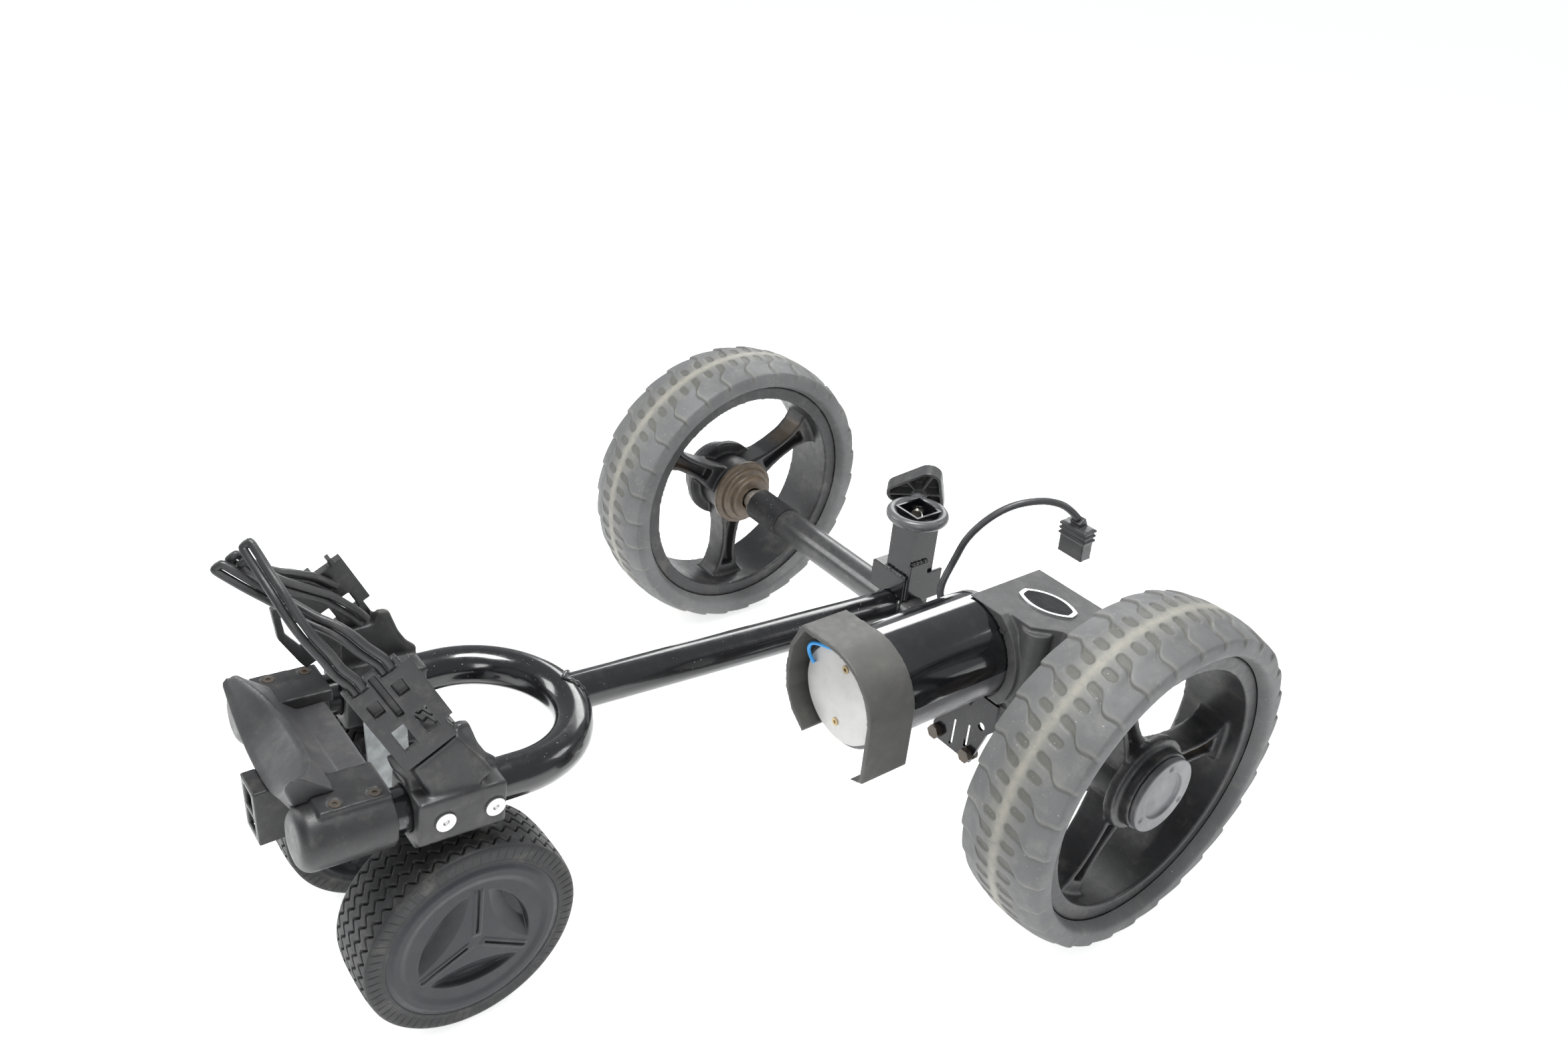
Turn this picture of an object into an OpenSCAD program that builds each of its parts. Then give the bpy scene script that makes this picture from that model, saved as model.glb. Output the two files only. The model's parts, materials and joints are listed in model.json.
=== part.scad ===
// Chassis of a motorised golf bag push cart: frame, wheels, worm drive and bag arms.
// Distances run from the rear axle (y) and from the floor (z); +X is the driven wheel's side.

/* [Rear wheels] */
// Outside radius of a rear tyre
rear_r = 150; // [146:1:154]
// Width of a rear tyre
rear_w = 83; // [80:1:86]
// Middle of the cart to the middle of a rear tyre
rear_x = 278.5; // [277:0.5:282]
// Radius of the opening inside a rear rim
rim_open_r = 110; // [107:1:112]
// Angle of the left wheel's first spoke
left_spoke_a = 27.5; // [0:0.5:120]
// Angle of the right wheel's first spoke
right_spoke_a = -2.5; // [-60:0.5:60]

/* [Front wheels] */
// Outside radius of a front tyre
front_r = 81.5; // [80:0.5:83]
// Width of a front tyre
front_w = 55; // [53:1:56]
// Middle of the cart to the middle of a front tyre
front_x = 77.5; // [77:0.5:80]
// Rear axle to front axle
wheelbase = 484; // [482:1:486]

/* [Frame] */
// Rear axle to the front of the saddle's nose
nose_reach = 598; // [598:1:604]
// Radius of the frame tubes
tube_r = 16; // [15.5:0.5:16]
// Wall of the frame tubes
tube_wall = 2; // [1.5:0.5:3]
// Rise of the spine, degrees
tilt = 4.86; // [4.5:0.02:5.2]
// Bend radius of the front hoop
hoop_r = 72; // [71:0.5:73]
// Rear axle to the hoop's bend centre, along the spine
hoop_ahead = 432; // [430:1:434]

/* [Mast socket] */
// Outside width of the square socket
socket_w = 30; // [29:0.5:31]
// Clear width inside the square socket
socket_in = 26; // [24:0.5:26.5]
// Height of the socket's mouth
socket_top = 252; // [248:1:256]

/* [Motor] */
// Radius of the motor can
can_r = 46; // [45:0.5:46]
// Motor axis to the middle of the cart
motor_x = 120; // [120:0.5:121]
// Teeth on the worm wheel
wheel_teeth = 24; // [24:1:24]

/* [Bag arms] */
// Middle of the cart to an arm's inner face
arm_x = 72; // [72:0.5:73]
// Thickness of an arm
arm_t = 8; // [7:0.5:8]

/* [Hidden] */
$fn = 72;
eps = 0.01;
over = 1;
rear_y = (rear_r + nose_reach) / 2 - rear_r;

// Rear wheel
crown_drop = 7.3;
crown_power = 2.5;
crown_steps = 4;
shoulder = 3.5;
lip_r = 128;
seat_r = 124;
seat_w = 62;
hub_r = 30;
hub_in = 26.5;
hub_out = 32;
inner_collar = [35.5, 20, 26.5];
outer_collar = [42, 12.5, 21.5];
cap_boss = [35.7, 21.5, 32];
nose_steps = [[30, 33.5], [23.5, 42.5]];
cap_r = 33.6;
cap_t = 6;
cap_dish_r = 21;
cap_dish_d = 2.5;
cap_pitch_r = 27.5;
cap_screw_r = 2.6;
cap_screw_t = 1.2;
shaft_r = 8;
weld_bite = 0.4;
run_gap = 0.05;
race_r = 16;
race_w = 10;
outer_race_x = 16;
hub_bore_r = 12;
spoke_d = 28;
spoke_shift = 2;
spoke_outline = [[28, 15], [50, 10], [66, 8.5], [84, 9], [98, 13], [111.5, 22]];
pocket_outline = [[42, 6.5], [56, 4.8], [72, 4.2], [86, 5], [97, 7.5]];
pocket_d = 11;

// Left stub axle and its sleeve
stub_end = -310;
stub_shoulder = -235.5;
tube_left = -222;
stub_root = -190;
shoulder_r = 11;
sleeve_right = -175;
sleeve_t = 1.2;
clip_x = -230;
clip_t = 3;
clip_r = 13.5;
clip_reach = 4;
circlip_t = 2;
circlip_x = -307;

// Gearbox
box_x0 = 99;
box_x1 = 150;
box_y0 = -20;
box_y1 = 46;
box_z0 = 112;
box_z1 = 206;
nose_x1 = 214;
nose_r = 20;
worm_drop = 37;
motor_z = rear_r + worm_drop;
wheel_r = 32;
wheel_case_r = 35;
wheel_case_half = 9.5;
wheel_room_half = 7;
tooth_face = 10;
tooth_tip_r = 31;
tooth_root_r = 26.5;
tooth_tip_w = 1.6;
tooth_root_w = 2.8;
pitch_r = 29;
worm_lead = 2 * PI * pitch_r / wheel_teeth;
worm_core_r = 6;
worm_tip_r = 10;
worm_sector = 104;
worm_len = 32;
worm_case_r = 12;
worm_slices = 48;
worm_sides = 8;
small_shaft_r = 4;
small_race_r = 11;
small_race_w = 8;
tail_bearing_y = 30;
shaft_front = -171;
shaft_back = 40;
axle_end = 308;
axle_start = 101.5;
far_race_x = 200;
seat_room = 0.5;
box_gap = 0.5;
face_gap = 0.3;
nose_gap = 2;

// Gearbox cover
cover_z0 = 152;
cover_z1 = 235;
cover_t = 3.5;
cover_left = 114;
cover_right = 225;
cover_plan = [[114, -24], [175, -24], [194, -5], [225, -5], [225, 52], [114, 52]];
cover_room = [[117.5, -20.5], [173.5, -20.5], [192.5, -1.5], [221.5, -1.5], [221.5, 48.5], [117.5, 48.5]];
fairing_x = 176;
fairing_y = -15;
fairing_r = 13.5;
fairing_drop = 4;
flange_r = 57;
flange_hole_r = 47;
flange_y = -33;
badge_at = [158, 15];
badge_len = 60;
badge_w = 29;
badge_t = 1.6;
badge_turn = 12;
badge_tip = 4;
badge_fn = 180;
cover_front_screw = [155, 223];
cover_back_screws = [[126, 222], [212, 222]];
cover_screw_r = 3;
cover_screw_h = 1.2;
cover_seat = [[122, 146], [-6, 36]];

// Motor
can_front = -170;
can_back = -20;
can_wall = 3;
wrap_t = 0.4;
wrap_y = [-140, -26];
wrap_edge_z = 1.6;
plate_r = 42;
plate_y = [-174, -166];
plate_screw = [2, 27];
plate_screw_r = 3.4;
plate_screw_t = 1.5;
plate_socket_r = 1.5;
hood_y = [-187, -140];
hood_r = 50.5;
hood_inner_r = 46.5;
hood_left = [[0, 50.5], [-42, 47.6], [-53, 24], [-56, 0], [-53, -20], [-43, -37], [-26.5, -49.5]];
hood_room = [[0, 46.9], [-38.5, 44], [-49.4, 23], [-52.4, 0], [-49.5, -19], [-40.4, -34.6], [-24, -46.6],
    [-8, -40], [0, 0]];
hood_right = [[46.5, 0], [50.5, 0], [50.5, -49], [37, -54], [36.5, -52.8], [46.5, -48]];
hood_gap = [[0, 0], [-38, -72], [46.5, -72], [46.5, 0]];
magnet_r = [36.5, 42.8];
magnet_y = [-140, -60];
magnet_cut = 12;
armature_r = 34;
armature_y = [-136, -64];
commutator_r = 14;
commutator_y = [-58, -40];
commutator_neck = 6;
brush_y = [-56, -44];
brush_ring_r = [30, 42.8];
brush_w = 9;
brush_gap = 0.3;
lead_r = 1.6;
lead_sides = 8;
lead_ref = [0.3, 1, 0];
lead_route = [[-34, -175.7, 12], [-38, -177, 17], [-40, -178, 24], [-36, -178.5, 31], [-27, -178, 35],
    [-16, -177, 38], [-8, -175.7, 39.5]];

// Bracket under the motor
bracket_y = [-23, -20];
bracket_plan = [[90, 66], [139, 66], [152, 106], [159, 114], [159, 141], [99, 141], [99, 96], [90, 82]];
bracket_slots = [[114, 70, 99], [131, 79, 104]];
slot_w = 4;
bracket_hole = [145, 111];
bracket_hole_r = 4;
bracket_bolt_at = [[96, 74], [136, 74]];
bolt_r = 4;
bolt_head_r = 7;
bolt_head_t = 6;
nut_r = 6.5;
nut_t = 4;

// Tilted front end, measured along the spine from the rear axle
leg_end = 582;
casing_from = 530;
casing_to = 592;
casing_r = 22.5;
casing_nose = 9;
casing_deck = [[44, 82], [530, 578], [14, 24]];
casing_screw_at = [[75, 540], [75, 566]];
casing_screw_r = 4.2;
casing_screw_t = 1.2;
casing_sunk = 1.5;
casing_hole_r = 4.8;
casing_socket_r = 1.8;
casing_socket_from = 0.4;
casing_step = 15;
clamp_from = 455;
clamp_to = 519;
clamp_x = [50, 98];
clamp_z = [-21, 20];
clamp_screw_at = [[464, 0.5], [500, 0.5]];
clamp_screw_r = 7.2;
clamp_screw_t = 2.4;
clamp_screw_play = 0.1;
clamp_screw_out = 0.8;
clamp_socket_r = 2.6;
clamp_chamfer = [6, 5];

// Saddle and foot
saddle_half = 64;
saddle_deck = [-526, 196, 212];
saddle_mid = [-546, 212];
saddle_crest = [-561, 225, 17];
saddle_lip = [-585, 208, 34];
saddle_sweep = 18;
saddle_under = [-578, 196];
saddle_steps = 8;
saddle_power = 2.3;
saddle_round = [4, 1, 5];
saddle_room = 20;
foot_x = [-7, 20];
foot_y = [-598, -574];
foot_z = [158, 203];
foot_roof = 188;
foot_wall = 3;
foot_windows = [[163, 177], [181, 198]];
window_frame = 6;

// Front axle
axle_z = front_r;
front_shaft_r = 6;
front_axle_half = 98;
bracket_half = 44;
bracket_leg_y = [-500, -468];
bracket_leg_t = 3;
bracket_top = 192;
bracket_foot = 67.5;
bracket_tab = 58;
front_hub_r = 14;
front_hub_in = 8;
front_hub_out = 12;
front_rim_t = 4;
front_bead = 2;
front_side_r = 75.5;
front_edge_r = 80;
front_edge_in = 5;
front_core_r = 24;
front_core_out = [1, 0.5];
front_bore_out = 6.5;
front_mark = [8, 46];
front_mark_half = 1.2;
front_mark_x = [1, 4];
front_mark_a = 85;
front_dome_edge = [1.5, 6];
front_rim_r = 66;
front_dome_r = 65.4;
front_dome_h = 2;

// Bag arms
arm_plan = [[-456, 200], [-450, 212], [-458, 220], [-464, 232], [-470, 252], [-479, 254], [-483, 244],
    [-527, 245], [-524, 234], [-516, 222], [-514, 203]];
arm_root_u = [-101, -99];
arm_root_half = [24, 19];
arm_root_t = 15;
arm_root_top = 7;
left_slide = 7;
ladder_at = [-526, 297];
ladder_turn = 116;
ladder_lean = 13;
ladder_foot = -60;
ladder_t = 6;
ladder_s = [-0.5, 72];
ladder_half = 20;
tongue = [[-71, -58], 12, 4];
rib_s = [14, 66];
rib_w = 26;
ladder_slot = [35, 70, 5];
pocket_at = [[52, -10.2], [49.5, 9.6]];
pocket_size = [11, 8];
pocket_floor = 2;
window_at = [[22, -10.5], [20.5, 7]];
window_size = [18.5, 9.5];
channel_s = 65;
channel_at = [-10.5, 10.5];
channel_w = 12.6;
cleat_plan = [[-2, 27], [-26, 36], [-54, 35], [-61, 34], [-61, 25], [-72, 22], [-76, 12], [-62, 4], [-30, 14],
    [-4, 19]];
cleat_hole = [[-11, 22], [-25, 19], [-44, 20], [-44, 27], [-26, 30], [-12, 25]];
cleat_t = 6;
arm_tuck = [2, 4];

// Mast socket
socket_y = 8;
socket_foot = 150;
collar_rod_r = 5;
collar_r = 24;
collar_z = 246;
shoe_front = [[-30, 15], [-11, -8], [160, 188]];
shoe_left = [[-30, -15], [-8, 16]];
shoe_side = [[15, 18], [-8, 34], [160, 190]];
shoe_ear = [[15, 18], [-8, 14], [188, 203]];

// Clamp knob, along its screw towards the socket
knob_at = [-31.7, 39.65, 247.9];
knob_dir = [0.639, -0.682, -0.358];
knob_corner = 19;
knob_turned = 40;
knob_corner_r = 12.5;
knob_half = 6.5;
knob_shell = 3;
knob_hub_r = 7.5;
knob_rib_len = [20.5, 30];
knob_rib_half = 1;
screw_r = 3.95;
screw_len = 28;
thread_bore_r = 4;
boss_r = 8;
boss_from = 11.5;
boss_to = 24;
pad_from = 28.05;
pad_to = 31;
pad_r = 5.5;
pad_room_r = 6.5;
pad_hole_l = 2.7;
spigot_r = 2.4;
spigot_l = 1.5;

// Cords
cable_r = 3.5;
cable_sides = 10;
strap_r = 2.8;
strap_sides = 8;
sweep_ref = [0.6, 0, -0.8];
strap_ref = [0, 1, 0];
gland_z = 172;
gland_len = 7;
gland_r = 5.6;
cable_route = [[92, 0, 172], [82, 0, 172], [73, 0, 173], [64, 0, 176], [56, 0, 181], [49, 2, 190],
    [46, 7, 200], [45, 14, 211], [46, 19, 223], [48, 24, 237], [52, 33, 251], [59, 46, 265],
    [68, 62, 275], [80, 83, 279], [90, 101, 274], [97, 114, 262]];
plug_axis_tilt = -58;
plug_at = cable_route[len(cable_route) - 1];
plug_size = [28, 34, 13];
plug_from = 2;
plug_drop = -86;
plug_offset = 7;
plug_fins = 3;
plug_neck = 8;
plug_neck_w = 6;
plug_neck_t = 4.5;
plug_gap = 1.8;
plug_fin_pitch = 5;
plug_fin_from = 3;
plug_fin_half = [15.5, 8];
plug_fin_w = 2.4;
strap_gap = 3.1;
strap_tip = [0.8, 0.55];
right_upper_route = [[68, -519, 306.5], [66.3, -522.2, 313.1], [63.5, -531.1, 323.2], [59, -537.8, 331.6],
    [52, -545.3, 337.6], [44, -553.7, 341.5], [34, -560.3, 345], [24, -567.9, 349.4], [11, -579.3, 356.1],
    [0, -591.6, 365.8]];
right_lower_route = [[68, -537.8, 297.3], [66.3, -541, 303.9], [63.5, -547.9, 312.7], [60.5, -552.9, 323.2],
    [56, -558.7, 333.3], [51, -563.7, 343.3], [44, -567.1, 351.7], [35, -569.9, 360.5], [21, -572.8, 369.3],
    [8, -576.5, 380.6]];
left_upper_route = [[-65, -505.9, 288.9], [-62, -513.8, 296.9], [-56, -522.8, 306.8], [-48, -534.1, 316.5],
    [-40, -544.5, 325.3], [-31, -553.3, 333.6], [-21, -564.7, 345.4], [-12, -574.5, 357.8],
        [-5, -582.3, 368.2]];
left_lower_route = [[-68, -485, 252.1], [-66, -491.3, 261.8], [-62, -501.6, 274.4], [-56, -512.8, 288],
    [-47, -525.1, 300.6], [-37, -538.2, 314.2], [-25, -552.4, 329.7], [-15, -562.3, 342.6], [-6, -571, 354.9],
    [1, -577.7, 366.2]];
strap_side = [-0.21, -0.77, -0.6];

// ---------- shared shapes ----------
module cart() translate([0, rear_y, 0]) children();

module tilted() translate([0, 0, rear_r]) rotate([-tilt, 0, 0]) children();

// Both legs of the fork: the left one and what it carries sit a little further back
module both_legs() tilted() {
    children();
    translate([0, left_slide, 0]) mirror([1, 0, 0]) children();
}

module rod_x(r, x0, x1) translate([x0, 0, 0]) rotate([0, 90, 0]) cylinder(h = x1 - x0, r = r);

module rod_y(r, y0, y1) translate([0, y1, 0]) rotate([90, 0, 0]) cylinder(h = y1 - y0, r = r);

// Extrudes a (y, z) outline along X
module slab_x(x0, x1) translate([x0, 0, 0]) rotate([90, 0, 90]) linear_extrude(x1 - x0) children();

// Extrudes an (x, z) outline along Y
module slab_y(y0, y1) translate([0, y1, 0]) rotate([90, 0, 0]) linear_extrude(y1 - y0) children();

// Turns an (r, along) outline about X
module turn_x() rotate([0, 90, 0]) rotate_extrude($fn = 96) children();

module ring(r_out, r_in) difference() {
    circle(r_out);
    circle(r_in);
}

module block(xs, ys, zs) translate([xs[0], ys[0], zs[0]])
    cube([xs[1] - xs[0], ys[1] - ys[0], zs[1] - zs[0]]);

module both_sides() for (side = [0, 1]) mirror([side, 0, 0]) children();

// A line through a hand-chosen route, smoothed once between its points
function smooth(p) = concat([p[0]], [for (i = [0 : len(p) - 2]) each [(9 * (p[i] + p[i + 1])
    - p[max(i - 1, 0)] - p[min(i + 2, len(p) - 1)]) / 16, p[i + 1]]]);

function unit(v) = v / norm(v);

function tangent(p, i) = unit(p[min(i + 1, len(p) - 1)] - p[max(i - 1, 0)]);

module sweep(path, r, sides, ref) {
    rings = [for (i = [0 : len(path) - 1])
        let (t = tangent(path, i), a = unit(cross(t, ref)), b = cross(t, a))
        for (k = [0 : sides - 1]) path[i] + r * (cos(360 * k / sides) * a + sin(360 * k / sides) * b)];
    last = (len(path) - 1) * sides;
    start_cap = [[for (k = [0 : sides - 1]) k]];
    end_cap = [[for (k = [sides - 1 : -1 : 0]) last + k]];
    walls = [for (i = [0 : len(path) - 2]) for (k = [0 : sides - 1]) let (n = (k + 1) % sides)
        each [[i * sides + k, (i + 1) * sides + k, (i + 1) * sides + n],
            [i * sides + k, (i + 1) * sides + n, i * sides + n]]];
    polyhedron(points = rings, faces = concat(start_cap, end_cap, walls));
}

// ---------- frame ----------
module socket_shape(w) translate([-w / 2, socket_y - w / 2]) square(w);

module spine_tube() color("#1c1c1e") cart() difference() {
    tilted() difference() {
        rod_y(tube_r, -hoop_ahead + hoop_r, 0);
        rod_y(tube_r - tube_wall, -hoop_ahead, 1);
        translate([0, -hoop_ahead, 0]) rotate_extrude($fn = 96) translate([hoop_r, 0])
            circle(tube_r - weld_bite);
    }
    translate([0, 0, rear_r]) rod_x(tube_r - weld_bite, -2 * tube_r, 2 * tube_r);
}

module axle_tube() color("#1a1a1c") cart() translate([0, 0, rear_r]) difference() {
    rod_x(tube_r, tube_left, box_x0);
    rod_x(tube_r - tube_wall, tube_left - over, box_x0 + over);
}

module fork_hoop() color("#1c1c1e") cart() tilted() {
    translate([0, -hoop_ahead, 0]) rotate_extrude(angle = 180, $fn = 96) translate([hoop_r, 0])
        ring(tube_r, tube_r - tube_wall);
    for (side = [-1, 1]) translate([side * hoop_r, -hoop_ahead, 0]) rotate([90, 0, 0])
        linear_extrude(leg_end - hoop_ahead - (side < 0 ? left_slide : 0)) ring(tube_r, tube_r - tube_wall);
}

module knob_frame() translate(knob_at) rotate([0, acos(knob_dir[2]), atan2(knob_dir[1], knob_dir[0])])
    children();

module mast_socket() color("#1e1e20") cart() difference() {
    translate([0, 0, socket_foot]) linear_extrude(socket_top - socket_foot) difference() {
        socket_shape(socket_w);
        socket_shape(socket_in);
    }
    translate([0, 0, rear_r]) rod_x(tube_r, -2 * tube_r, 2 * tube_r);
    tilted() rod_y(tube_r, -2 * tube_r, tube_r);
    knob_frame() cylinder(h = 2 * socket_w, r = pad_room_r);
    knob_frame() cylinder(h = boss_to, r = boss_r);
}

module socket_collar() color("#27272a") cart() difference() {
    union() {
        translate([0, socket_y, collar_z]) rotate_extrude() translate([collar_r, 0])
            circle(collar_rod_r, $fn = 32);
        knob_frame() translate([0, 0, boss_from]) cylinder(h = boss_to - boss_from, r = boss_r);
    }
    linear_extrude(2 * socket_top) socket_shape(socket_w);
    knob_frame() cylinder(h = 2 * socket_w, r = thread_bore_r);
    knob_frame() translate([0, 0, boss_to]) cylinder(h = socket_w, r = pad_room_r);
}

module socket_gussets() color("#1e1e20") cart() difference() {
    union() {
        block(shoe_front[0], shoe_front[1], shoe_front[2]);
        block(shoe_left[0], shoe_left[1], shoe_front[2]);
        block(shoe_side[0], shoe_side[1], shoe_side[2]);
        block(shoe_ear[0], shoe_ear[1], shoe_ear[2]);
    }
    translate([0, 0, rear_r]) rod_x(tube_r, -3 * tube_r, 3 * tube_r);
    tilted() rod_y(tube_r, -2 * tube_r, tube_r);
}

module axle_sleeve() color("#101012") cart() translate([0, 0, rear_r]) difference() {
    rod_x(tube_r + sleeve_t, tube_left, sleeve_right);
    rod_x(tube_r, tube_left - over, sleeve_right + over);
}

module left_stub_axle() color("#a8a49c") cart() translate([0, 0, rear_r]) difference() {
    union() {
        rod_x(shaft_r, stub_end, stub_root);
        rod_x(shoulder_r, stub_shoulder, tube_left);
        rod_x(tube_r - tube_wall, tube_left, stub_root);
    }
    difference() {
        rod_x(shoulder_r + over, clip_x, clip_x + clip_t);
        rod_x(shaft_r + over, clip_x - over, clip_x + clip_t + over);
    }
}

module wheel_release_clip() color("#b8b6b0") cart() translate([0, 0, rear_r]) {
    difference() {
        rod_x(clip_r, clip_x + run_gap, clip_x + clip_t - run_gap);
        rod_x(shaft_r + over, clip_x - over, clip_x + clip_t + over);
        block([clip_x - over, clip_x + clip_t + over], [-clip_r * 2, -shaft_r / 2],
            [-shaft_r / 2, shaft_r / 2]);
    }
    difference() {
        rod_x(shaft_r + clip_reach, circlip_x, circlip_x + circlip_t);
        rod_x(shaft_r, circlip_x - over, circlip_x + circlip_t + over);
    }
}

// ---------- rear wheels, drawn about X with +X outboard ----------
function crown(u) = rear_r - crown_drop * pow(abs(u) / (rear_w / 2), crown_power);

module tyre_shape() {
    half = rear_w / 2;
    run = half - shoulder;
    turn_x() polygon(concat(
        [for (i = [-crown_steps : crown_steps]) [crown(i * run / crown_steps), i * run / crown_steps]],
        [[crown(run) - shoulder, half], [lip_r, half], [seat_r, seat_w / 2]],
        [[seat_r, -seat_w / 2], [lip_r, -half], [crown(run) - shoulder, -half]]));
}

module mirrored_outline(half_points) polygon(concat(half_points,
    [for (i = [len(half_points) - 1 : -1 : 0]) [half_points[i][0], -half_points[i][1]]]));

module rim_shape(first_angle, bearings) difference() {
    union() {
        turn_x() translate([rim_open_r, -seat_w / 2]) square([seat_r - rim_open_r, seat_w]);
        rod_x(hub_r, -hub_in, hub_out);
        rod_x(inner_collar[0], -inner_collar[2], -inner_collar[1]);
        rod_x(outer_collar[0], outer_collar[1], outer_collar[2]);
        rod_x(cap_boss[0], cap_boss[1], cap_boss[2]);
        rod_x(nose_steps[0][0], -nose_steps[0][1], -hub_in);
        rod_x(nose_steps[1][0], -nose_steps[1][1], -hub_in);
        for (k = [0 : 2]) rotate([first_angle + 120 * k, 0, 0])
            slab_x(spoke_shift - spoke_d / 2, spoke_shift + spoke_d / 2) mirrored_outline(spoke_outline);
    }
    for (k = [0 : 2]) rotate([first_angle + 120 * k, 0, 0]) for (side = [-1, 1])
        translate([spoke_shift + side * spoke_d / 2, 0, 0])
            slab_x(-pocket_d, pocket_d) mirrored_outline(pocket_outline);
    if (bearings) {
        rod_x(hub_bore_r, -rear_w, cap_boss[2] + over);
        rod_x(race_r, -hub_in, -hub_in + race_w);
        rod_x(race_r, outer_race_x, cap_boss[2] + over);
    }
    else rod_x(shaft_r, -rear_w, cap_boss[2] + over);
}

module hub_cap_shape() difference() {
    rod_x(cap_r, cap_boss[2], cap_boss[2] + cap_t);
    rod_x(cap_dish_r, cap_boss[2] + cap_t - cap_dish_d, cap_boss[2] + cap_t + over);
    for (k = [0 : 2]) rotate([90 + 120 * k, 0, 0]) translate([0, cap_pitch_r, 0])
        rod_x(cap_screw_r, cap_boss[2] + cap_t - cap_screw_t, cap_boss[2] + cap_t + over);
}

module race(r_in, r_out, x0, w) difference() {
    rod_x(r_out, x0, x0 + w);
    rod_x(r_in, x0 - over, x0 + w + over);
}

module left_wheel_frame() cart() translate([-rear_x, 0, rear_r]) mirror([1, 0, 0]) children();

module right_wheel_frame() cart() translate([rear_x, 0, rear_r]) children();

module left_tyre() color("#5a5a56") left_wheel_frame() tyre_shape();

module left_rim() color("#202022") left_wheel_frame() rim_shape(left_spoke_a, true);

module left_wheel_bearings() color("#a0a0a0") left_wheel_frame() {
    race(shaft_r + run_gap, race_r, -hub_in, race_w);
    race(shaft_r + run_gap, race_r, outer_race_x, race_w);
}

module left_hub_cap() color("#3a3a3c") left_wheel_frame() hub_cap_shape();

module right_tyre() color("#5a5a56") right_wheel_frame() tyre_shape();

module right_rim() color("#202022") right_wheel_frame() rim_shape(right_spoke_a, false);

module right_hub_cap() color("#3a3a3c") right_wheel_frame() hub_cap_shape();

// ---------- worm drive ----------
module drive_axle() color("#9a9a9a") cart() translate([0, 0, rear_r]) rod_x(shaft_r, axle_start, axle_end);

module worm_wheel() color("#b58a3c") cart() translate([motor_x, 0, rear_r])
    slab_x(-tooth_face / 2, tooth_face / 2)
    difference() {
        union() {
            circle(tooth_root_r);
            for (k = [0 : wheel_teeth - 1]) rotate(90 + 360 * k / wheel_teeth) polygon([
                [tooth_root_r - over, -tooth_root_w / 2], [tooth_tip_r, -tooth_tip_w / 2],
                [tooth_tip_r, tooth_tip_w / 2], [tooth_root_r - over, tooth_root_w / 2]]);
        }
        circle(shaft_r);
    }

module worm_shaft() color("#8c8c90") cart() translate([motor_x, 0, motor_z]) {
    twist_angle = 360 * (worm_len - 2) / worm_lead;
    rod_y(small_shaft_r, shaft_front, shaft_back);
    rod_y(worm_core_r, -worm_len / 2, worm_len / 2);
    rotate([-90, 0, 0]) linear_extrude(worm_len - 2, twist = -twist_angle, center = true, slices = worm_slices,
        $fn = worm_sides) rotate(-90 - twist_angle / 2) polygon([[0, 0], for (s = [-1 : 0.5 : 1])
            worm_tip_r * [cos(s * worm_sector / 2), sin(s * worm_sector / 2)]]);
}

module motor_armature() color("#8a5a32") cart() translate([motor_x, 0, motor_z]) difference() {
    union() {
        rod_y(armature_r, armature_y[0], armature_y[1]);
        rod_y(commutator_r, commutator_y[0] - commutator_neck, commutator_y[1]);
    }
    rod_y(small_shaft_r, shaft_front, shaft_back);
}

// Round front of the housing, which clears the worm wheel
module wheel_case() translate([0, 0, rear_r])
    rod_x(wheel_case_r, motor_x - wheel_case_half, motor_x + wheel_case_half);

module gearbox_housing() color("#2a2a2c") cart() difference() {
    union() {
        block([box_x0, box_x1], [box_y0, box_y1], [box_z0, box_z1]);
        translate([0, 0, rear_r]) rod_x(nose_r, box_x0, nose_x1);
        block(cover_seat[0], cover_seat[1], [box_z1 - over, cover_z1 - cover_t]);
        difference() {
            wheel_case();
            translate([motor_x, 0, motor_z]) rod_y(can_r, can_front, 0);
        }
    }
    translate([0, 0, rear_r]) {
        rod_x(race_r, axle_start - seat_room, axle_start + race_w);
        rod_x(hub_bore_r, axle_start, nose_x1 + over);
        rod_x(race_r, far_race_x, far_race_x + race_w);
        rod_x(wheel_r, motor_x - wheel_room_half, motor_x + wheel_room_half);
    }
    translate([motor_x, 0, motor_z]) {
        rod_y(worm_case_r, box_y0 - over, tail_bearing_y);
        rod_y(small_race_r, tail_bearing_y - over, tail_bearing_y + small_race_w);
        rod_y(small_shaft_r + 1, tail_bearing_y, shaft_back + 1);
    }
}

module drive_bearings() color("#a0a0a0") cart() {
    translate([0, 0, rear_r]) {
        race(shaft_r + run_gap, race_r, axle_start, race_w);
        race(shaft_r + run_gap, race_r, far_race_x, race_w);
    }
    translate([motor_x, 0, motor_z]) shaft_race(tail_bearing_y, tail_bearing_y + small_race_w);
}

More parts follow.
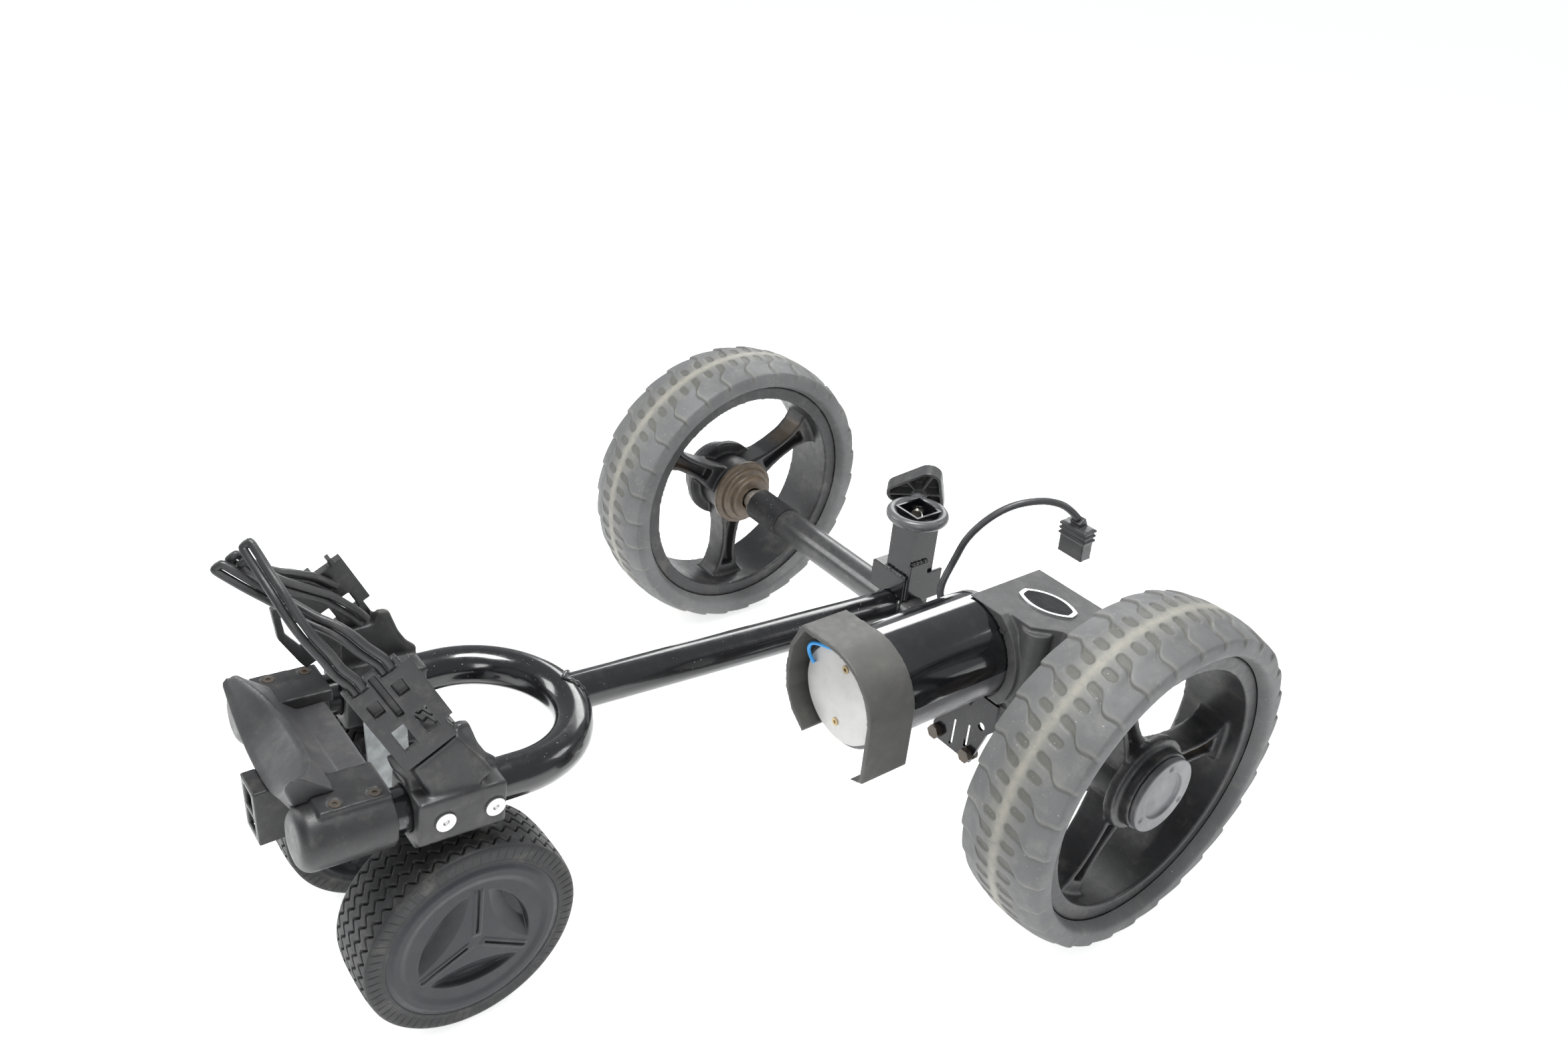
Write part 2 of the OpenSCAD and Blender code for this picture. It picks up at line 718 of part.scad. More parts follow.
module gearbox_cover() color("#3c3c3e") cart() difference() {
    union() {
        translate([0, 0, cover_z0]) linear_extrude(cover_z1 - cover_z0) polygon(cover_plan);
        translate([fairing_x, fairing_y, cover_z0])
            cylinder(h = cover_z1 - cover_z0 - fairing_drop, r = fairing_r);
        intersection() {
            translate([motor_x, 0, motor_z]) rod_y(flange_r, flange_y, cover_plan[0][1] + over);
            block([cover_left, cover_right], [flange_y - over, 0], [cover_z0, cover_z1]);
        }
    }
    translate([0, 0, cover_z0 - over]) linear_extrude(cover_z1 - cover_z0 - cover_t + over)
        polygon(cover_room);
    translate([motor_x, 0, motor_z]) rod_y(flange_hole_r, 2 * flange_y, box_y0);
    block([0, box_x1 + box_gap], [box_y0 - face_gap, cover_plan[4][1] + over],
        [cover_z0 - over, box_z1 + box_gap]);
    translate([0, 0, rear_r]) rod_x(nose_r + nose_gap, box_x0, cover_right + over);
}

module cover_badge() color("#c8c8c8") cart() translate([badge_at[0], badge_at[1], cover_z1])
    rotate(badge_turn) intersection() {
        big = (badge_len * badge_len + badge_w * badge_w) / (4 * badge_w);
        translate([0, big - badge_w / 2, 0]) cylinder(h = badge_t, r = big, $fn = badge_fn);
        translate([0, badge_w / 2 - big, 0]) cylinder(h = badge_t, r = big, $fn = badge_fn);
        cylinder(h = badge_t, r = badge_len / 2 - badge_tip);
    }

module cover_screws() color("#808080") cart() {
    translate([cover_front_screw[0], 0, cover_front_screw[1]])
        rod_y(cover_screw_r, flange_y - cover_screw_h, flange_y);
    for (p = cover_back_screws) translate([p[0], 0, p[1]])
        rod_y(cover_screw_r, cover_plan[4][1], cover_plan[4][1] + cover_screw_h);
}

// ---------- motor ----------
module motor_frame() cart() translate([motor_x, 0, motor_z]) children();

module motor_can() color("#6a6a6c") motor_frame() difference() {
    rod_y(can_r, can_front, can_back);
    rod_y(can_r - can_wall, can_front - over, can_back - can_wall);
    rod_y(small_race_r, can_back - can_wall - 1, can_back + 1);
    translate([0, 0, -worm_drop]) rod_x(wheel_r, -wheel_room_half, wheel_room_half);
}

module motor_wrap() color("#141416") motor_frame() difference() {
    rod_y(can_r + wrap_t, wrap_y[0], wrap_y[1]);
    rod_y(can_r, wrap_y[0] - over, wrap_y[1] + over);
    block([-2 * can_r, 2 * can_r], [wrap_y[0] - over, wrap_y[1] + over], [-2 * can_r, wrap_edge_z]);
}

module motor_end_plate() color("#c0c0be") motor_frame() difference() {
    union() {
        rod_y(plate_r, plate_y[0], can_front);
        rod_y(can_r - can_wall, can_front, plate_y[1]);
    }
    rod_y(small_race_r, plate_y[0] + 1, plate_y[1] + 1);
    for (s = [-1, 1]) translate([s * plate_screw[0], 0, s * plate_screw[1]])
        rod_y(plate_screw_r, plate_y[0] - over, plate_y[0] + plate_screw_t);
}

module motor_end_screws() color("#b8a070") motor_frame() for (s = [-1, 1])
    translate([s * plate_screw[0], 0, s * plate_screw[1]]) difference() {
        rod_y(plate_screw_r, plate_y[0] - over, plate_y[0] + plate_screw_t);
        rod_y(plate_socket_r, plate_y[0] - 2 * over, plate_y[0]);
    }

module motor_hood() color("#2e2e30") motor_frame() slab_y(hood_y[0], hood_y[1]) {
    difference() {
        union() {
            circle(hood_r);
            polygon(hood_left);
        }
        circle(hood_inner_r);
        polygon(hood_room);
        polygon(hood_gap);
        translate([0, -2 * hood_r]) square(2 * hood_r);
    }
    polygon(hood_right);
}

module motor_magnets() color("#4a4a4c") motor_frame() for (s = [0, 1]) rotate([0, 180 * s, 0])
    slab_y(magnet_y[0], magnet_y[1]) difference() {
        ring(magnet_r[1], magnet_r[0]);
        translate([-2 * can_r, -2 * can_r]) square([2 * can_r + magnet_cut, 4 * can_r]);
    }

module brush_holder() color("#5a3a22") motor_frame() {
    slab_y(brush_y[0], brush_y[1]) ring(brush_ring_r[1], brush_ring_r[0]);
    for (s = [0, 1]) rotate([0, 180 * s, 0])
        block([commutator_r + brush_gap, brush_ring_r[0] + over], brush_y, [-brush_w / 2, brush_w / 2]);
}

module shaft_race(y0, y1) difference() {
    rod_y(small_race_r, y0, y1);
    rod_y(small_shaft_r + run_gap, y0 - over, y1 + over);
}

module motor_bearings() color("#a0a0a0") motor_frame() {
    shaft_race(plate_y[0] + 1, plate_y[1]);
    shaft_race(can_back - small_race_w, can_back);
}

module motor_lead() color("#2a9ad8") motor_frame() sweep(smooth(lead_route), lead_r, lead_sides, lead_ref);

module motor_bracket() color("#202022") cart() difference() {
    slab_y(bracket_y[0], bracket_y[1]) difference() {
        polygon(bracket_plan);
        translate([motor_x, motor_z]) circle(can_r + box_gap);
        for (s = bracket_slots) translate([s[0] - slot_w / 2, s[1]]) square([slot_w, s[2] - s[1]]);
        translate(bracket_hole) circle(bracket_hole_r);
        for (p = bracket_bolt_at) translate(p) circle(bolt_r);
    }
    wheel_case();
}

module bracket_bolts() color("#3a3632") cart() for (p = bracket_bolt_at) translate([p[0], 0, p[1]]) {
    rod_y(bolt_r, bracket_y[0], bracket_y[1] + bolt_head_t);
    rod_y(bolt_head_r, bracket_y[0] - bolt_head_t, bracket_y[0], $fn = 6);
    rod_y(nut_r, bracket_y[1], bracket_y[1] + nut_t);
}

// ---------- motor cable ----------
module cable_gland() color("#161618") cart() translate([0, 0, gland_z]) difference() {
    rod_x(gland_r, box_x0 - gland_len, box_x0);
    rod_x(cable_r, box_x0 - gland_len - 1, box_x0 - gland_len);
}

module motor_cable() color("#1a1a1a") cart() sweep(smooth(cable_route), cable_r, cable_sides, sweep_ref);

module cable_plug() color("#1a1a1a") cart() translate(plug_at) {
    rotate([plug_axis_tilt, 0, 0])
        block([-plug_neck_w, plug_neck_w], [plug_gap, plug_neck + plug_from], [-plug_neck_t, plug_neck_t]);
    rotate([plug_axis_tilt, 0, 0]) translate([0, plug_offset, 0]) rotate([plug_drop - plug_axis_tilt, 0, 0]) {
        block([-plug_size[0] / 2, plug_size[0] / 2], [plug_from, plug_size[1]],
            [-plug_size[2] / 2, plug_size[2] / 2]);
        for (k = [0 : plug_fins - 1]) translate([0, plug_fin_from + plug_fin_pitch * k, 0])
            block([-plug_fin_half[0], plug_fin_half[0]], [0, plug_fin_w],
                [-plug_fin_half[1], plug_fin_half[1]]);
    }
}

// ---------- front end ----------
module casing_profile() polygon([[0, casing_from], [casing_r, casing_from],
    for (a = [0 : casing_step : 90])
        [casing_r - casing_nose, casing_to - casing_nose] + casing_nose * [cos(a), sin(a)],
    [0, casing_to]]);

module front_casings() color("#2c2c2e") cart() both_legs() difference() {
    union() {
        translate([hoop_r, 0, 0]) rotate([90, 0, 0]) rotate_extrude() casing_profile();
        block(casing_deck[0], [-casing_deck[1][1], -casing_deck[1][0]], casing_deck[2]);
    }
    translate([hoop_r, 0, 0]) rod_y(tube_r, -leg_end, -casing_from + over);
    for (p = casing_screw_at) translate([p[0], -p[1], casing_deck[2][1] - casing_sunk])
        cylinder(h = casing_nose, r = casing_hole_r);
}

module casing_screws() color("#4a4038") cart() both_legs() for (p = casing_screw_at)
    translate([p[0], -p[1], casing_deck[2][1] - casing_sunk]) difference() {
        cylinder(h = casing_screw_t, r = casing_screw_r);
        translate([0, 0, casing_socket_from]) cylinder(h = 2 * over, r = casing_socket_r, $fn = 6);
    }

module clamp_block() difference() {
    union() {
        block([clamp_x[0] + clamp_chamfer[0], clamp_x[1]], [-clamp_to, -clamp_from],
            [clamp_z[0] + clamp_chamfer[1], clamp_z[1]]);
        block([clamp_x[0], clamp_x[1] - clamp_chamfer[1]], [-clamp_to, -clamp_from], clamp_z);
    }
    translate([hoop_r, 0, 0]) rod_y(tube_r, -leg_end, -hoop_ahead);
    for (p = clamp_screw_at) translate([0, -p[0], p[1]])
        rod_x(clamp_screw_r, clamp_x[1] - clamp_screw_t, clamp_x[1] + over);
}

module clamp_screw_pair() tilted() for (p = clamp_screw_at) translate([0, -p[0], p[1]]) difference() {
    rod_x(clamp_screw_r - clamp_screw_play, clamp_x[1] - clamp_screw_t, clamp_x[1] + clamp_screw_out);
    rod_x(clamp_socket_r, clamp_x[1] - over, clamp_x[1] + 2 * over, $fn = 6);
}

module clamp_screws() color("#d8d8d8") {
    cart() clamp_screw_pair();
    left_side() clamp_screw_pair();
}

module arm_solid() difference() {
    union() {
        slab_x(arm_x, arm_x + arm_t) polygon(arm_plan);
        tilted() clamp_block();
        ladder_plane() hull() {
            block(arm_root_u, [-arm_root_half[0], arm_root_half[1]], [0, arm_root_t]);
            block([ladder_foot - arm_tuck[0], ladder_foot], [-ladder_half, ladder_half - arm_tuck[1]],
                [0, arm_root_top]);
        }
    }
    ladder_body();
    ladder_plane() leaning()
        block([0, 2 * ladder_half], [-2 * ladder_half, 2 * ladder_half], [0, 2 * arm_root_t]);
    tilted() translate([hoop_r, 0, 0]) rod_y(tube_r, -leg_end, -hoop_ahead);
}

module right_bag_arm() color("#2c2c2e") cart() arm_solid();

module left_side() cart() translate([0, left_slide * cos(tilt), -left_slide * sin(tilt)]) mirror([1, 0, 0])
    children();

module left_bag_arm() color("#2c2c2e") left_side() arm_solid();

// Outline plane of the ladder: first axis up along the arm, second towards the front, third outwards
module ladder_plane() translate([arm_x + arm_t, ladder_at[0], ladder_at[1]]) rotate([90, 0, 90])
    rotate(ladder_turn) children();

// Leans the ladder in towards the middle of the cart, about the line where it leaves the arm
module leaning() translate([ladder_foot, 0, 0]) rotate([0, ladder_lean, 0]) children();

module ladder_body() ladder_plane() {
    leaning() linear_extrude(ladder_t) {
        translate([ladder_s[0], -ladder_half]) square([ladder_s[1] - ladder_s[0], 2 * ladder_half]);
        translate([rib_s[0], -rib_w]) square([rib_s[1] - rib_s[0], rib_w]);
    }
    block(tongue[0], [-tongue[1], tongue[1]], [0, tongue[2]]);
}

module ladder_solid() difference() {
    ladder_body();
    ladder_plane() leaning() {
        translate([0, 0, -eps]) linear_extrude(ladder_t + 2 * eps) {
            for (p = window_at) translate(p) square(window_size, center = true);
            for (w = channel_at) translate([channel_s, w - channel_w / 2]) square([ladder_half, channel_w]);
        }
        translate([0, 0, pocket_floor]) linear_extrude(ladder_t) {
            translate([ladder_slot[0], -ladder_slot[2] / 2])
                square([ladder_slot[1] - ladder_slot[0], ladder_slot[2]]);
            for (p = pocket_at) translate(p) square(pocket_size, center = true);
        }
    }
}

module right_ladder() color("#262628") cart() ladder_solid();

module left_ladder() color("#262628") left_side() ladder_solid();

module left_cleat() color("#242426") cart() mirror([1, 0, 0]) ladder_plane()
    translate([0, 0, -arm_t - cleat_t - run_gap]) linear_extrude(cleat_t) difference() {
        polygon(cleat_plan);
        polygon(cleat_hole);
    }

// A strap is one rubber cord: out to the tip, round it, and back beside itself
function strap_loop(route) = let (n = len(route) - 1, side = strap_gap * strap_side,
        tip = route[n] + strap_tip[0] * strap_gap * unit(route[n] - route[n - 1]))
    concat([for (p = route) p - side], [tip - strap_tip[1] * side, tip + strap_tip[1] * side],
        [for (i = [n : -1 : 0]) route[i] + side]);

module strap(route) color("#1c1c1c") cart() sweep(strap_loop(route), strap_r, strap_sides, strap_ref);

module right_upper_strap() strap(right_upper_route);

module right_lower_strap() strap(right_lower_route);

module left_upper_strap() strap(left_upper_route);

module left_lower_strap() strap(left_lower_route);

// One side profile of the saddle, at x: flat behind, a crest, and a lip that rises into a horn at each end
function saddle_profile(x) = let (t = abs(x) / saddle_half, up = pow(t, saddle_power),
        crest_y = saddle_crest[0] - saddle_sweep * t * t * t,
        crest_z = saddle_crest[1] + saddle_crest[2] * up,
        lip_z = saddle_lip[1] + saddle_lip[2] * up)
    [[x, saddle_deck[0], saddle_deck[1]], [x, saddle_deck[0], saddle_deck[2]],
        [x, saddle_mid[0], saddle_mid[1]],
        [x, crest_y + saddle_round[0], crest_z - saddle_round[0]], [x, crest_y, crest_z],
        [x, crest_y - saddle_round[0], crest_z - saddle_round[1]], [x, saddle_lip[0], lip_z],
        [x, saddle_lip[0] - saddle_round[0], lip_z - saddle_round[2]], [x, saddle_under[0], saddle_under[1]]];

// Skins a row of profiles that all have the same number of points
module loft(rows) {
    n = len(rows[0]);
    last = (len(rows) - 1) * n;
    sides = [for (i = [0 : len(rows) - 2]) for (k = [0 : n - 1]) let (m = (k + 1) % n)
        each [[i * n + k, (i + 1) * n + m, i * n + m], [i * n + k, (i + 1) * n + k, (i + 1) * n + m]]];
    polyhedron(points = [for (row = rows) each row],
        faces = concat([[for (k = [0 : n - 1]) k]], [[for (k = [n - 1 : -1 : 0]) last + k]], sides));
}

module saddle_solid()
    loft([for (i = [-saddle_steps : saddle_steps]) saddle_profile(saddle_half * i / saddle_steps)]);

module bag_saddle() color("#3a3a3c") cart() difference() {
    saddle_solid();
    both_legs() {
        translate([hoop_r, 0, 0]) rod_y(casing_r, -leg_end - saddle_room, -casing_from);
        translate([hoop_r, 0, 0]) rod_y(tube_r + run_gap, -leg_end, -hoop_ahead);
        block(casing_deck[0], [-casing_deck[1][1], -casing_deck[1][0]], casing_deck[2]);
    }
}

module front_foot() color("#2a2a2c") cart() difference() {
    block(foot_x, foot_y, foot_z);
    block([foot_x[0] + foot_wall, foot_x[1] - foot_wall], [foot_y[0] + foot_wall, foot_y[1] - foot_wall],
        [foot_z[0] - over, foot_roof]);
    for (w = foot_windows)
        block([foot_x[0] + window_frame, foot_x[1] - window_frame],
            [foot_y[0] - over, foot_y[0] + foot_wall + over], w);
    saddle_solid();
}

module front_axle_bracket() color("#b8bcbc") cart() difference() {
    union() {
        both_sides() {
            block([bracket_half - bracket_leg_t, bracket_half], bracket_leg_y, [bracket_foot, bracket_top]);
            block([bracket_half - bracket_leg_t, bracket_tab], bracket_leg_y,
                [bracket_top - bracket_leg_t, bracket_top]);
        }
        block([-bracket_half, bracket_half], bracket_leg_y, [bracket_foot, bracket_foot + bracket_leg_t]);
    }
    translate([0, -wheelbase, axle_z]) rod_x(front_shaft_r, -front_x, front_x);
    tilted() both_sides() {
        translate([hoop_r, 0, 0]) rod_y(tube_r, -leg_end, -hoop_ahead);
        block(clamp_x, [-clamp_to, -clamp_from + left_slide], clamp_z);
    }
}

module front_axle() color("#a0a0a0") cart() translate([0, -wheelbase, axle_z])
    rod_x(front_shaft_r, -front_axle_half, front_axle_half);

module front_wheel_shape() difference() {
    half = front_w / 2;
    turn_x() polygon([[front_shaft_r + run_gap, front_hub_in - half], [front_hub_r, front_hub_in - half],
        [front_hub_r, half - front_hub_out], [front_rim_r - front_rim_t, half - front_hub_out],
        [front_rim_r - front_rim_t, front_bead - half], [front_rim_r, -half], [front_side_r, -half],
        [front_edge_r, front_edge_in - half], [front_r, 0], [front_edge_r, half - front_edge_in],
        [front_side_r, half], [front_rim_r, half - front_bead], [front_dome_r, half - front_dome_edge[0]],
        [front_dome_r - front_dome_edge[1], half + front_dome_h], [front_core_r, half + front_core_out[0]],
        [0, half + front_core_out[1]], [0, half - front_bore_out],
            [front_shaft_r + run_gap, half - front_bore_out]]);
    for (k = [0 : 2]) rotate([front_mark_a + 120 * k, 0, 0])
        block([half - front_mark_x[0], half + front_mark_x[1]], front_mark,
            [-front_mark_half, front_mark_half]);
}

module front_right_wheel() color("#242426") cart() translate([front_x, -wheelbase, front_r])
    front_wheel_shape();

module front_left_wheel() color("#242426") cart() translate([-front_x, -wheelbase, front_r]) mirror([1, 0, 0])
    front_wheel_shape();

// ---------- clamp knob ----------
module knob_outline(q) hull() for (k = [0 : 2]) rotate(120 * k) translate([knob_corner, 0])
    circle(q, $fn = 48);

module clamp_knob() color("#1c1c1e") cart() knob_frame() rotate(knob_turned) {
    difference() {
        translate([0, 0, -knob_half]) linear_extrude(2 * knob_half) knob_outline(knob_corner_r);
        difference() {
            translate([0, 0, -knob_half + knob_shell]) linear_extrude(2 * knob_half)
                knob_outline(knob_corner_r - knob_shell);
            translate([0, 0, -knob_half]) cylinder(h = 2 * knob_half, r = knob_hub_r);
            for (k = [0 : 2]) rotate(60 + 120 * k)
                block([0, knob_rib_len[0]], [-knob_rib_half, knob_rib_half], [-knob_half, knob_half]);
            for (k = [0 : 2]) rotate(120 * k)
                block([0, knob_rib_len[1]], [-knob_rib_half, knob_rib_half], [-knob_half, knob_half]);
        }
    }
    translate([0, 0, knob_half - over]) cylinder(h = screw_len - knob_half + over, r = screw_r);
    translate([0, 0, screw_len - over]) cylinder(h = spigot_l + over, r = spigot_r);
}

module pressure_pad() color("#8a8a8c") cart() knob_frame() difference() {
    translate([0, 0, pad_from]) cylinder(h = pad_to - pad_from, r = pad_r);
    translate([0, 0, pad_from - over]) cylinder(h = pad_hole_l, r = spigot_r + run_gap);
}

spine_tube();
axle_tube();
fork_hoop();
mast_socket();
socket_collar();
socket_gussets();
axle_sleeve();
left_stub_axle();
wheel_release_clip();
gearbox_housing();
gearbox_cover();
cover_badge();
cover_screws();
drive_bearings();
motor_can();
motor_wrap();
motor_end_plate();
motor_end_screws();
motor_hood();
motor_magnets();
brush_holder();
motor_bearings();
motor_lead();
motor_bracket();
bracket_bolts();
cable_gland();
motor_cable();
cable_plug();
front_casings();
casing_screws();
clamp_screws();
bag_saddle();
front_foot();
front_axle_bracket();
front_axle();
right_bag_arm();
left_bag_arm();
right_ladder();
left_ladder();
left_cleat();
right_upper_strap();
right_lower_strap();
left_upper_strap();
left_lower_strap();
left_tyre();
left_rim();
left_wheel_bearings();
left_hub_cap();
right_tyre();
right_rim();
right_hub_cap();
drive_axle();
worm_wheel();
motor_armature();
worm_shaft();
front_right_wheel();
front_left_wheel();
clamp_knob();
pressure_pad();
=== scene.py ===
import json
import math

import bmesh
import bpy
import numpy as np
from mathutils import Matrix, Vector


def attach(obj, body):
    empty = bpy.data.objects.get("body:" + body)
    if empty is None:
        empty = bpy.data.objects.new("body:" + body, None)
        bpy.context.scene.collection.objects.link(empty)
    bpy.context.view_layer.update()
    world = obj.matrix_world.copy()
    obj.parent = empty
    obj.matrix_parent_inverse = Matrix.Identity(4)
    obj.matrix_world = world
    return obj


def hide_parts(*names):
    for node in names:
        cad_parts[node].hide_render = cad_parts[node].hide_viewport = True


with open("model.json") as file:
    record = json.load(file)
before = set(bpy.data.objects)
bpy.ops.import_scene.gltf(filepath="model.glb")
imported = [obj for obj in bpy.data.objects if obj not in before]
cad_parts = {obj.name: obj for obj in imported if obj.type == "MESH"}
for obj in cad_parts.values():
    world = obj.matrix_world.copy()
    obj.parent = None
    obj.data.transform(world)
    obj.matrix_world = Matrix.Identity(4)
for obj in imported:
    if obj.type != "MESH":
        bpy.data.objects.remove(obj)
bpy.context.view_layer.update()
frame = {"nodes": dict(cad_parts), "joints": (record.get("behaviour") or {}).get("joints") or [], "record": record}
MM = 0.001
joints = {j["name"]: j for j in frame["joints"]}
LEFT_HUB = Vector(joints["left_wheel_spin"]["pos_m"])
RIGHT_HUB = Vector(joints["right_wheel_spin"]["pos_m"])
REAR_Y = LEFT_HUB.y
scene = bpy.context.scene


def cart(x, y, z):
    """A point in the frame, from millimetres behind the rear axle's line (y) and over the floor (z)."""
    return Vector((x * MM, REAR_Y + y * MM, z * MM))


# ---------------------------------------------------------------- camera, lights, floor
FLOOR_WIDTH = 28
# Name, place, point aimed at, width and height in metres, power in watts.
LIGHTS = (
    ("overhead", (0.0, -0.1, 1.9), (0.05, -0.1, 0.1), 0.9, 0.5, 38),
    ("left_box", (-1.6, -1.3, 1.3), (0, 0, 0.15), 0.7, 1.0, 17),
    ("right_box", (1.9, -1.2, 1.4), (0.05, -0.1, 0.15), 0.7, 0.9, 15),
    ("back_box", (-1.5, 1.9, 1.35), (0.05, 0.1, 0.15), 1.7, 0.8, 26),
    ("far_box", (0.9, 2.1, 1.5), (0.05, 0.1, 0.15), 0.8, 0.6, 9))


def add_camera():
    """The camera fitted to the photograph's wheels and tubes."""
    eye = cart(716.16, -749.91, 799.88)
    aim = cart(-243.68, 54.10, 100.0)
    roll = 0.10038
    ahead = (aim - eye).normalized()
    side = ahead.cross(Vector((0, 0, 1))).normalized()
    up = side.cross(ahead)
    right = math.cos(roll) * side + math.sin(roll) * up
    top = -math.sin(roll) * side + math.cos(roll) * up
    data = bpy.data.cameras.new("camera")
    data.sensor_width = 36
    data.lens = 29.358
    data.clip_start = 0.01
    camera = bpy.data.objects.new("camera", data)
    scene.collection.objects.link(camera)
    camera.matrix_world = Matrix((
        (right.x, top.x, -ahead.x, eye.x), (right.y, top.y, -ahead.y, eye.y),
        (right.z, top.z, -ahead.z, eye.z), (0, 0, 0, 1)))
    scene.camera = camera


def add_light(name, place, aim, width, height, power):
    data = bpy.data.lights.new(name, "AREA")
    data.shape = "RECTANGLE"
    data.size = width
    data.size_y = height
    data.energy = power
    light = bpy.data.objects.new(name, data)
    scene.collection.objects.link(light)
    light.location = place
    light.rotation_euler = (Vector(aim) - Vector(place)).to_track_quat("-Z", "Y").to_euler()


def add_studio():
    world = bpy.data.worlds.new("studio")
    scene.world = world
    world.use_nodes = True
    sky = world.node_tree.nodes["Background"]
    sky.inputs["Color"].default_value = (0.93, 0.97, 1, 1)
    sky.inputs["Strength"].default_value = 0.42
    for light in LIGHTS:
        add_light(*light)
    mesh = bpy.data.meshes.new("floor")
    half = FLOOR_WIDTH / 2
    corners = [(-half, -half, 0), (half, -half, 0), (half, half, 0), (-half, half, 0)]
    mesh.from_pydata(corners, [], [(0, 1, 2, 3)])
    floor = bpy.data.objects.new("floor", mesh)
    scene.collection.objects.link(floor)
    mat = bpy.data.materials.new("floor")
    mat.use_nodes = True
    shader = mat.node_tree.nodes["Principled BSDF"]
    shader.inputs["Base Color"].default_value = (0.92, 0.92, 0.92, 1)
    shader.inputs["Roughness"].default_value = 0.75
    shader.inputs["Emission Color"].default_value = (1, 1, 1, 1)
    shader.inputs["Emission Strength"].default_value = 0.62
    mesh.materials.append(mat)


add_camera()
add_studio()
scene.view_settings.view_transform = "Standard"

# ---------------------------------------------------------------- materials
TAN = (0.33, 0.27, 0.18)
DUST = (0.36, 0.34, 0.28)
SPECK = (0.55, 0.55, 0.52)
COAT_ROUGHNESS = 0.08
GRAIN_HEIGHT = 0.0004
DUST_FINENESS = 2.3
DUST_EDGE = 0.25
GLOSS_FINENESS = 6
PATCH_SCALE = 95
SPECK_SCALE = 620


def noise_node(tree, coords, scale, detail=4, rough=0.6):
    node = tree.nodes.new("ShaderNodeTexNoise")
    node.inputs["Scale"].default_value = scale
    node.inputs["Detail"].default_value = detail
    node.inputs["Roughness"].default_value = rough
    tree.links.new(coords, node.inputs["Vector"])
    return node.outputs["Fac"]


def ramp(tree, value, low, high, to_low=0.0, to_high=1.0):
    node = tree.nodes.new("ShaderNodeMapRange")
    node.inputs["From Min"].default_value = low
    node.inputs["From Max"].default_value = high
    node.inputs["To Min"].default_value = to_low
    node.inputs["To Max"].default_value = to_high
    tree.links.new(value, node.inputs["Value"])
    return node.outputs["Result"]


def mix(tree, amount, a, b):
    node = tree.nodes.new("ShaderNodeMix")
    node.data_type = "RGBA"
    for slot, value in (("A", a), ("B", b)):
        socket = [s for s in node.inputs if s.name == slot and s.type == "RGBA"][0]
        if isinstance(value, tuple):
            socket.default_value = (*value, 1)
        else:
            tree.links.new(value, socket)
    tree.links.new(amount, node.inputs["Factor"])
    return [s for s in node.outputs if s.type == "RGBA"][0]


def times(tree, a, b):
    node = tree.nodes.new("ShaderNodeMath")
    node.operation = "MULTIPLY"
    for i, value in enumerate((a, b)):
        if isinstance(value, float):
            node.inputs[i].default_value = value
        else:
            tree.links.new(value, node.inputs[i])
    return node.outputs[0]


def finish(name, colour, rough, light=1.35, dark=0.7, mottle=22, spread=0.08, grain=0.15,
           grain_scale=1400, metal=0.0, coat=0.0, dust=0.0, dust_colour=DUST, dust_low=0.52,
           layers=(), streak=None, specks=0.0, specular=0.5):
    """A worn surface: mottled colour, uneven gloss, fine grain, patches of dust and painted-on masks of soil,
    dust, painted shade and painted highlight.
    """
    mat = bpy.data.materials.new(name)
    mat.use_nodes = True
    tree = mat.node_tree
    shader = tree.nodes["Principled BSDF"]
    shader.inputs["Metallic"].default_value = metal
    shader.inputs["Coat Weight"].default_value = coat
    shader.inputs["Coat Roughness"].default_value = COAT_ROUGHNESS
    shader.inputs["Specular IOR Level"].default_value = specular
    coords = tree.nodes.new("ShaderNodeTexCoord").outputs["Object"]
    grained = coords
    if streak:
        stretch = tree.nodes.new("ShaderNodeMapping")
        stretch.inputs["Scale"].default_value = streak
        tree.links.new(coords, stretch.inputs["Vector"])
        grained = stretch.outputs["Vector"]
    broad = ramp(tree, noise_node(tree, coords, mottle), 0.3, 0.7)
    tone = mix(tree, broad, tuple(c * dark for c in colour), tuple(c * light for c in colour))
    if dust:
        cloud = noise_node(tree, coords, mottle * DUST_FINENESS, 8, 0.7)
        patches = ramp(tree, cloud, dust_low, dust_low + DUST_EDGE, 0.0, dust)
        tone = mix(tree, patches, tone, dust_colour)
    # Mask layers: soil and dust, and on the tyres and front covers painted shade and painted highlight.
    for attribute, paint, strength in layers:
        mask = tree.nodes.new("ShaderNodeAttribute")
        mask.attribute_name = attribute
        patchy = ramp(tree, noise_node(tree, coords, PATCH_SCALE, 6, 0.7), 0.25, 0.6, 0.4, 1.0)
        amount = times(tree, times(tree, mask.outputs["Fac"], strength), patchy)
        tone = mix(tree, amount, tone, paint)
    if specks:
        spots = ramp(tree, noise_node(tree, coords, SPECK_SCALE, 2, 0.4), 0.735, 0.76, 0.0, specks)
        tone = mix(tree, spots, tone, SPECK)
    tree.links.new(tone, shader.inputs["Base Color"])
    fine = noise_node(tree, grained, grain_scale, 3, 0.55)
    uneven = noise_node(tree, grained, mottle * GLOSS_FINENESS, 5, 0.65)
    gloss = ramp(tree, uneven, 0.3, 0.7, max(rough - spread, 0.03), rough + spread)
    tree.links.new(gloss, shader.inputs["Roughness"])
    bump = tree.nodes.new("ShaderNodeBump")
    bump.inputs["Strength"].default_value = grain
    bump.inputs["Distance"].default_value = GRAIN_HEIGHT
    tree.links.new(fine, bump.inputs["Height"])
    tree.links.new(bump.outputs["Normal"], shader.inputs["Normal"])
    return mat


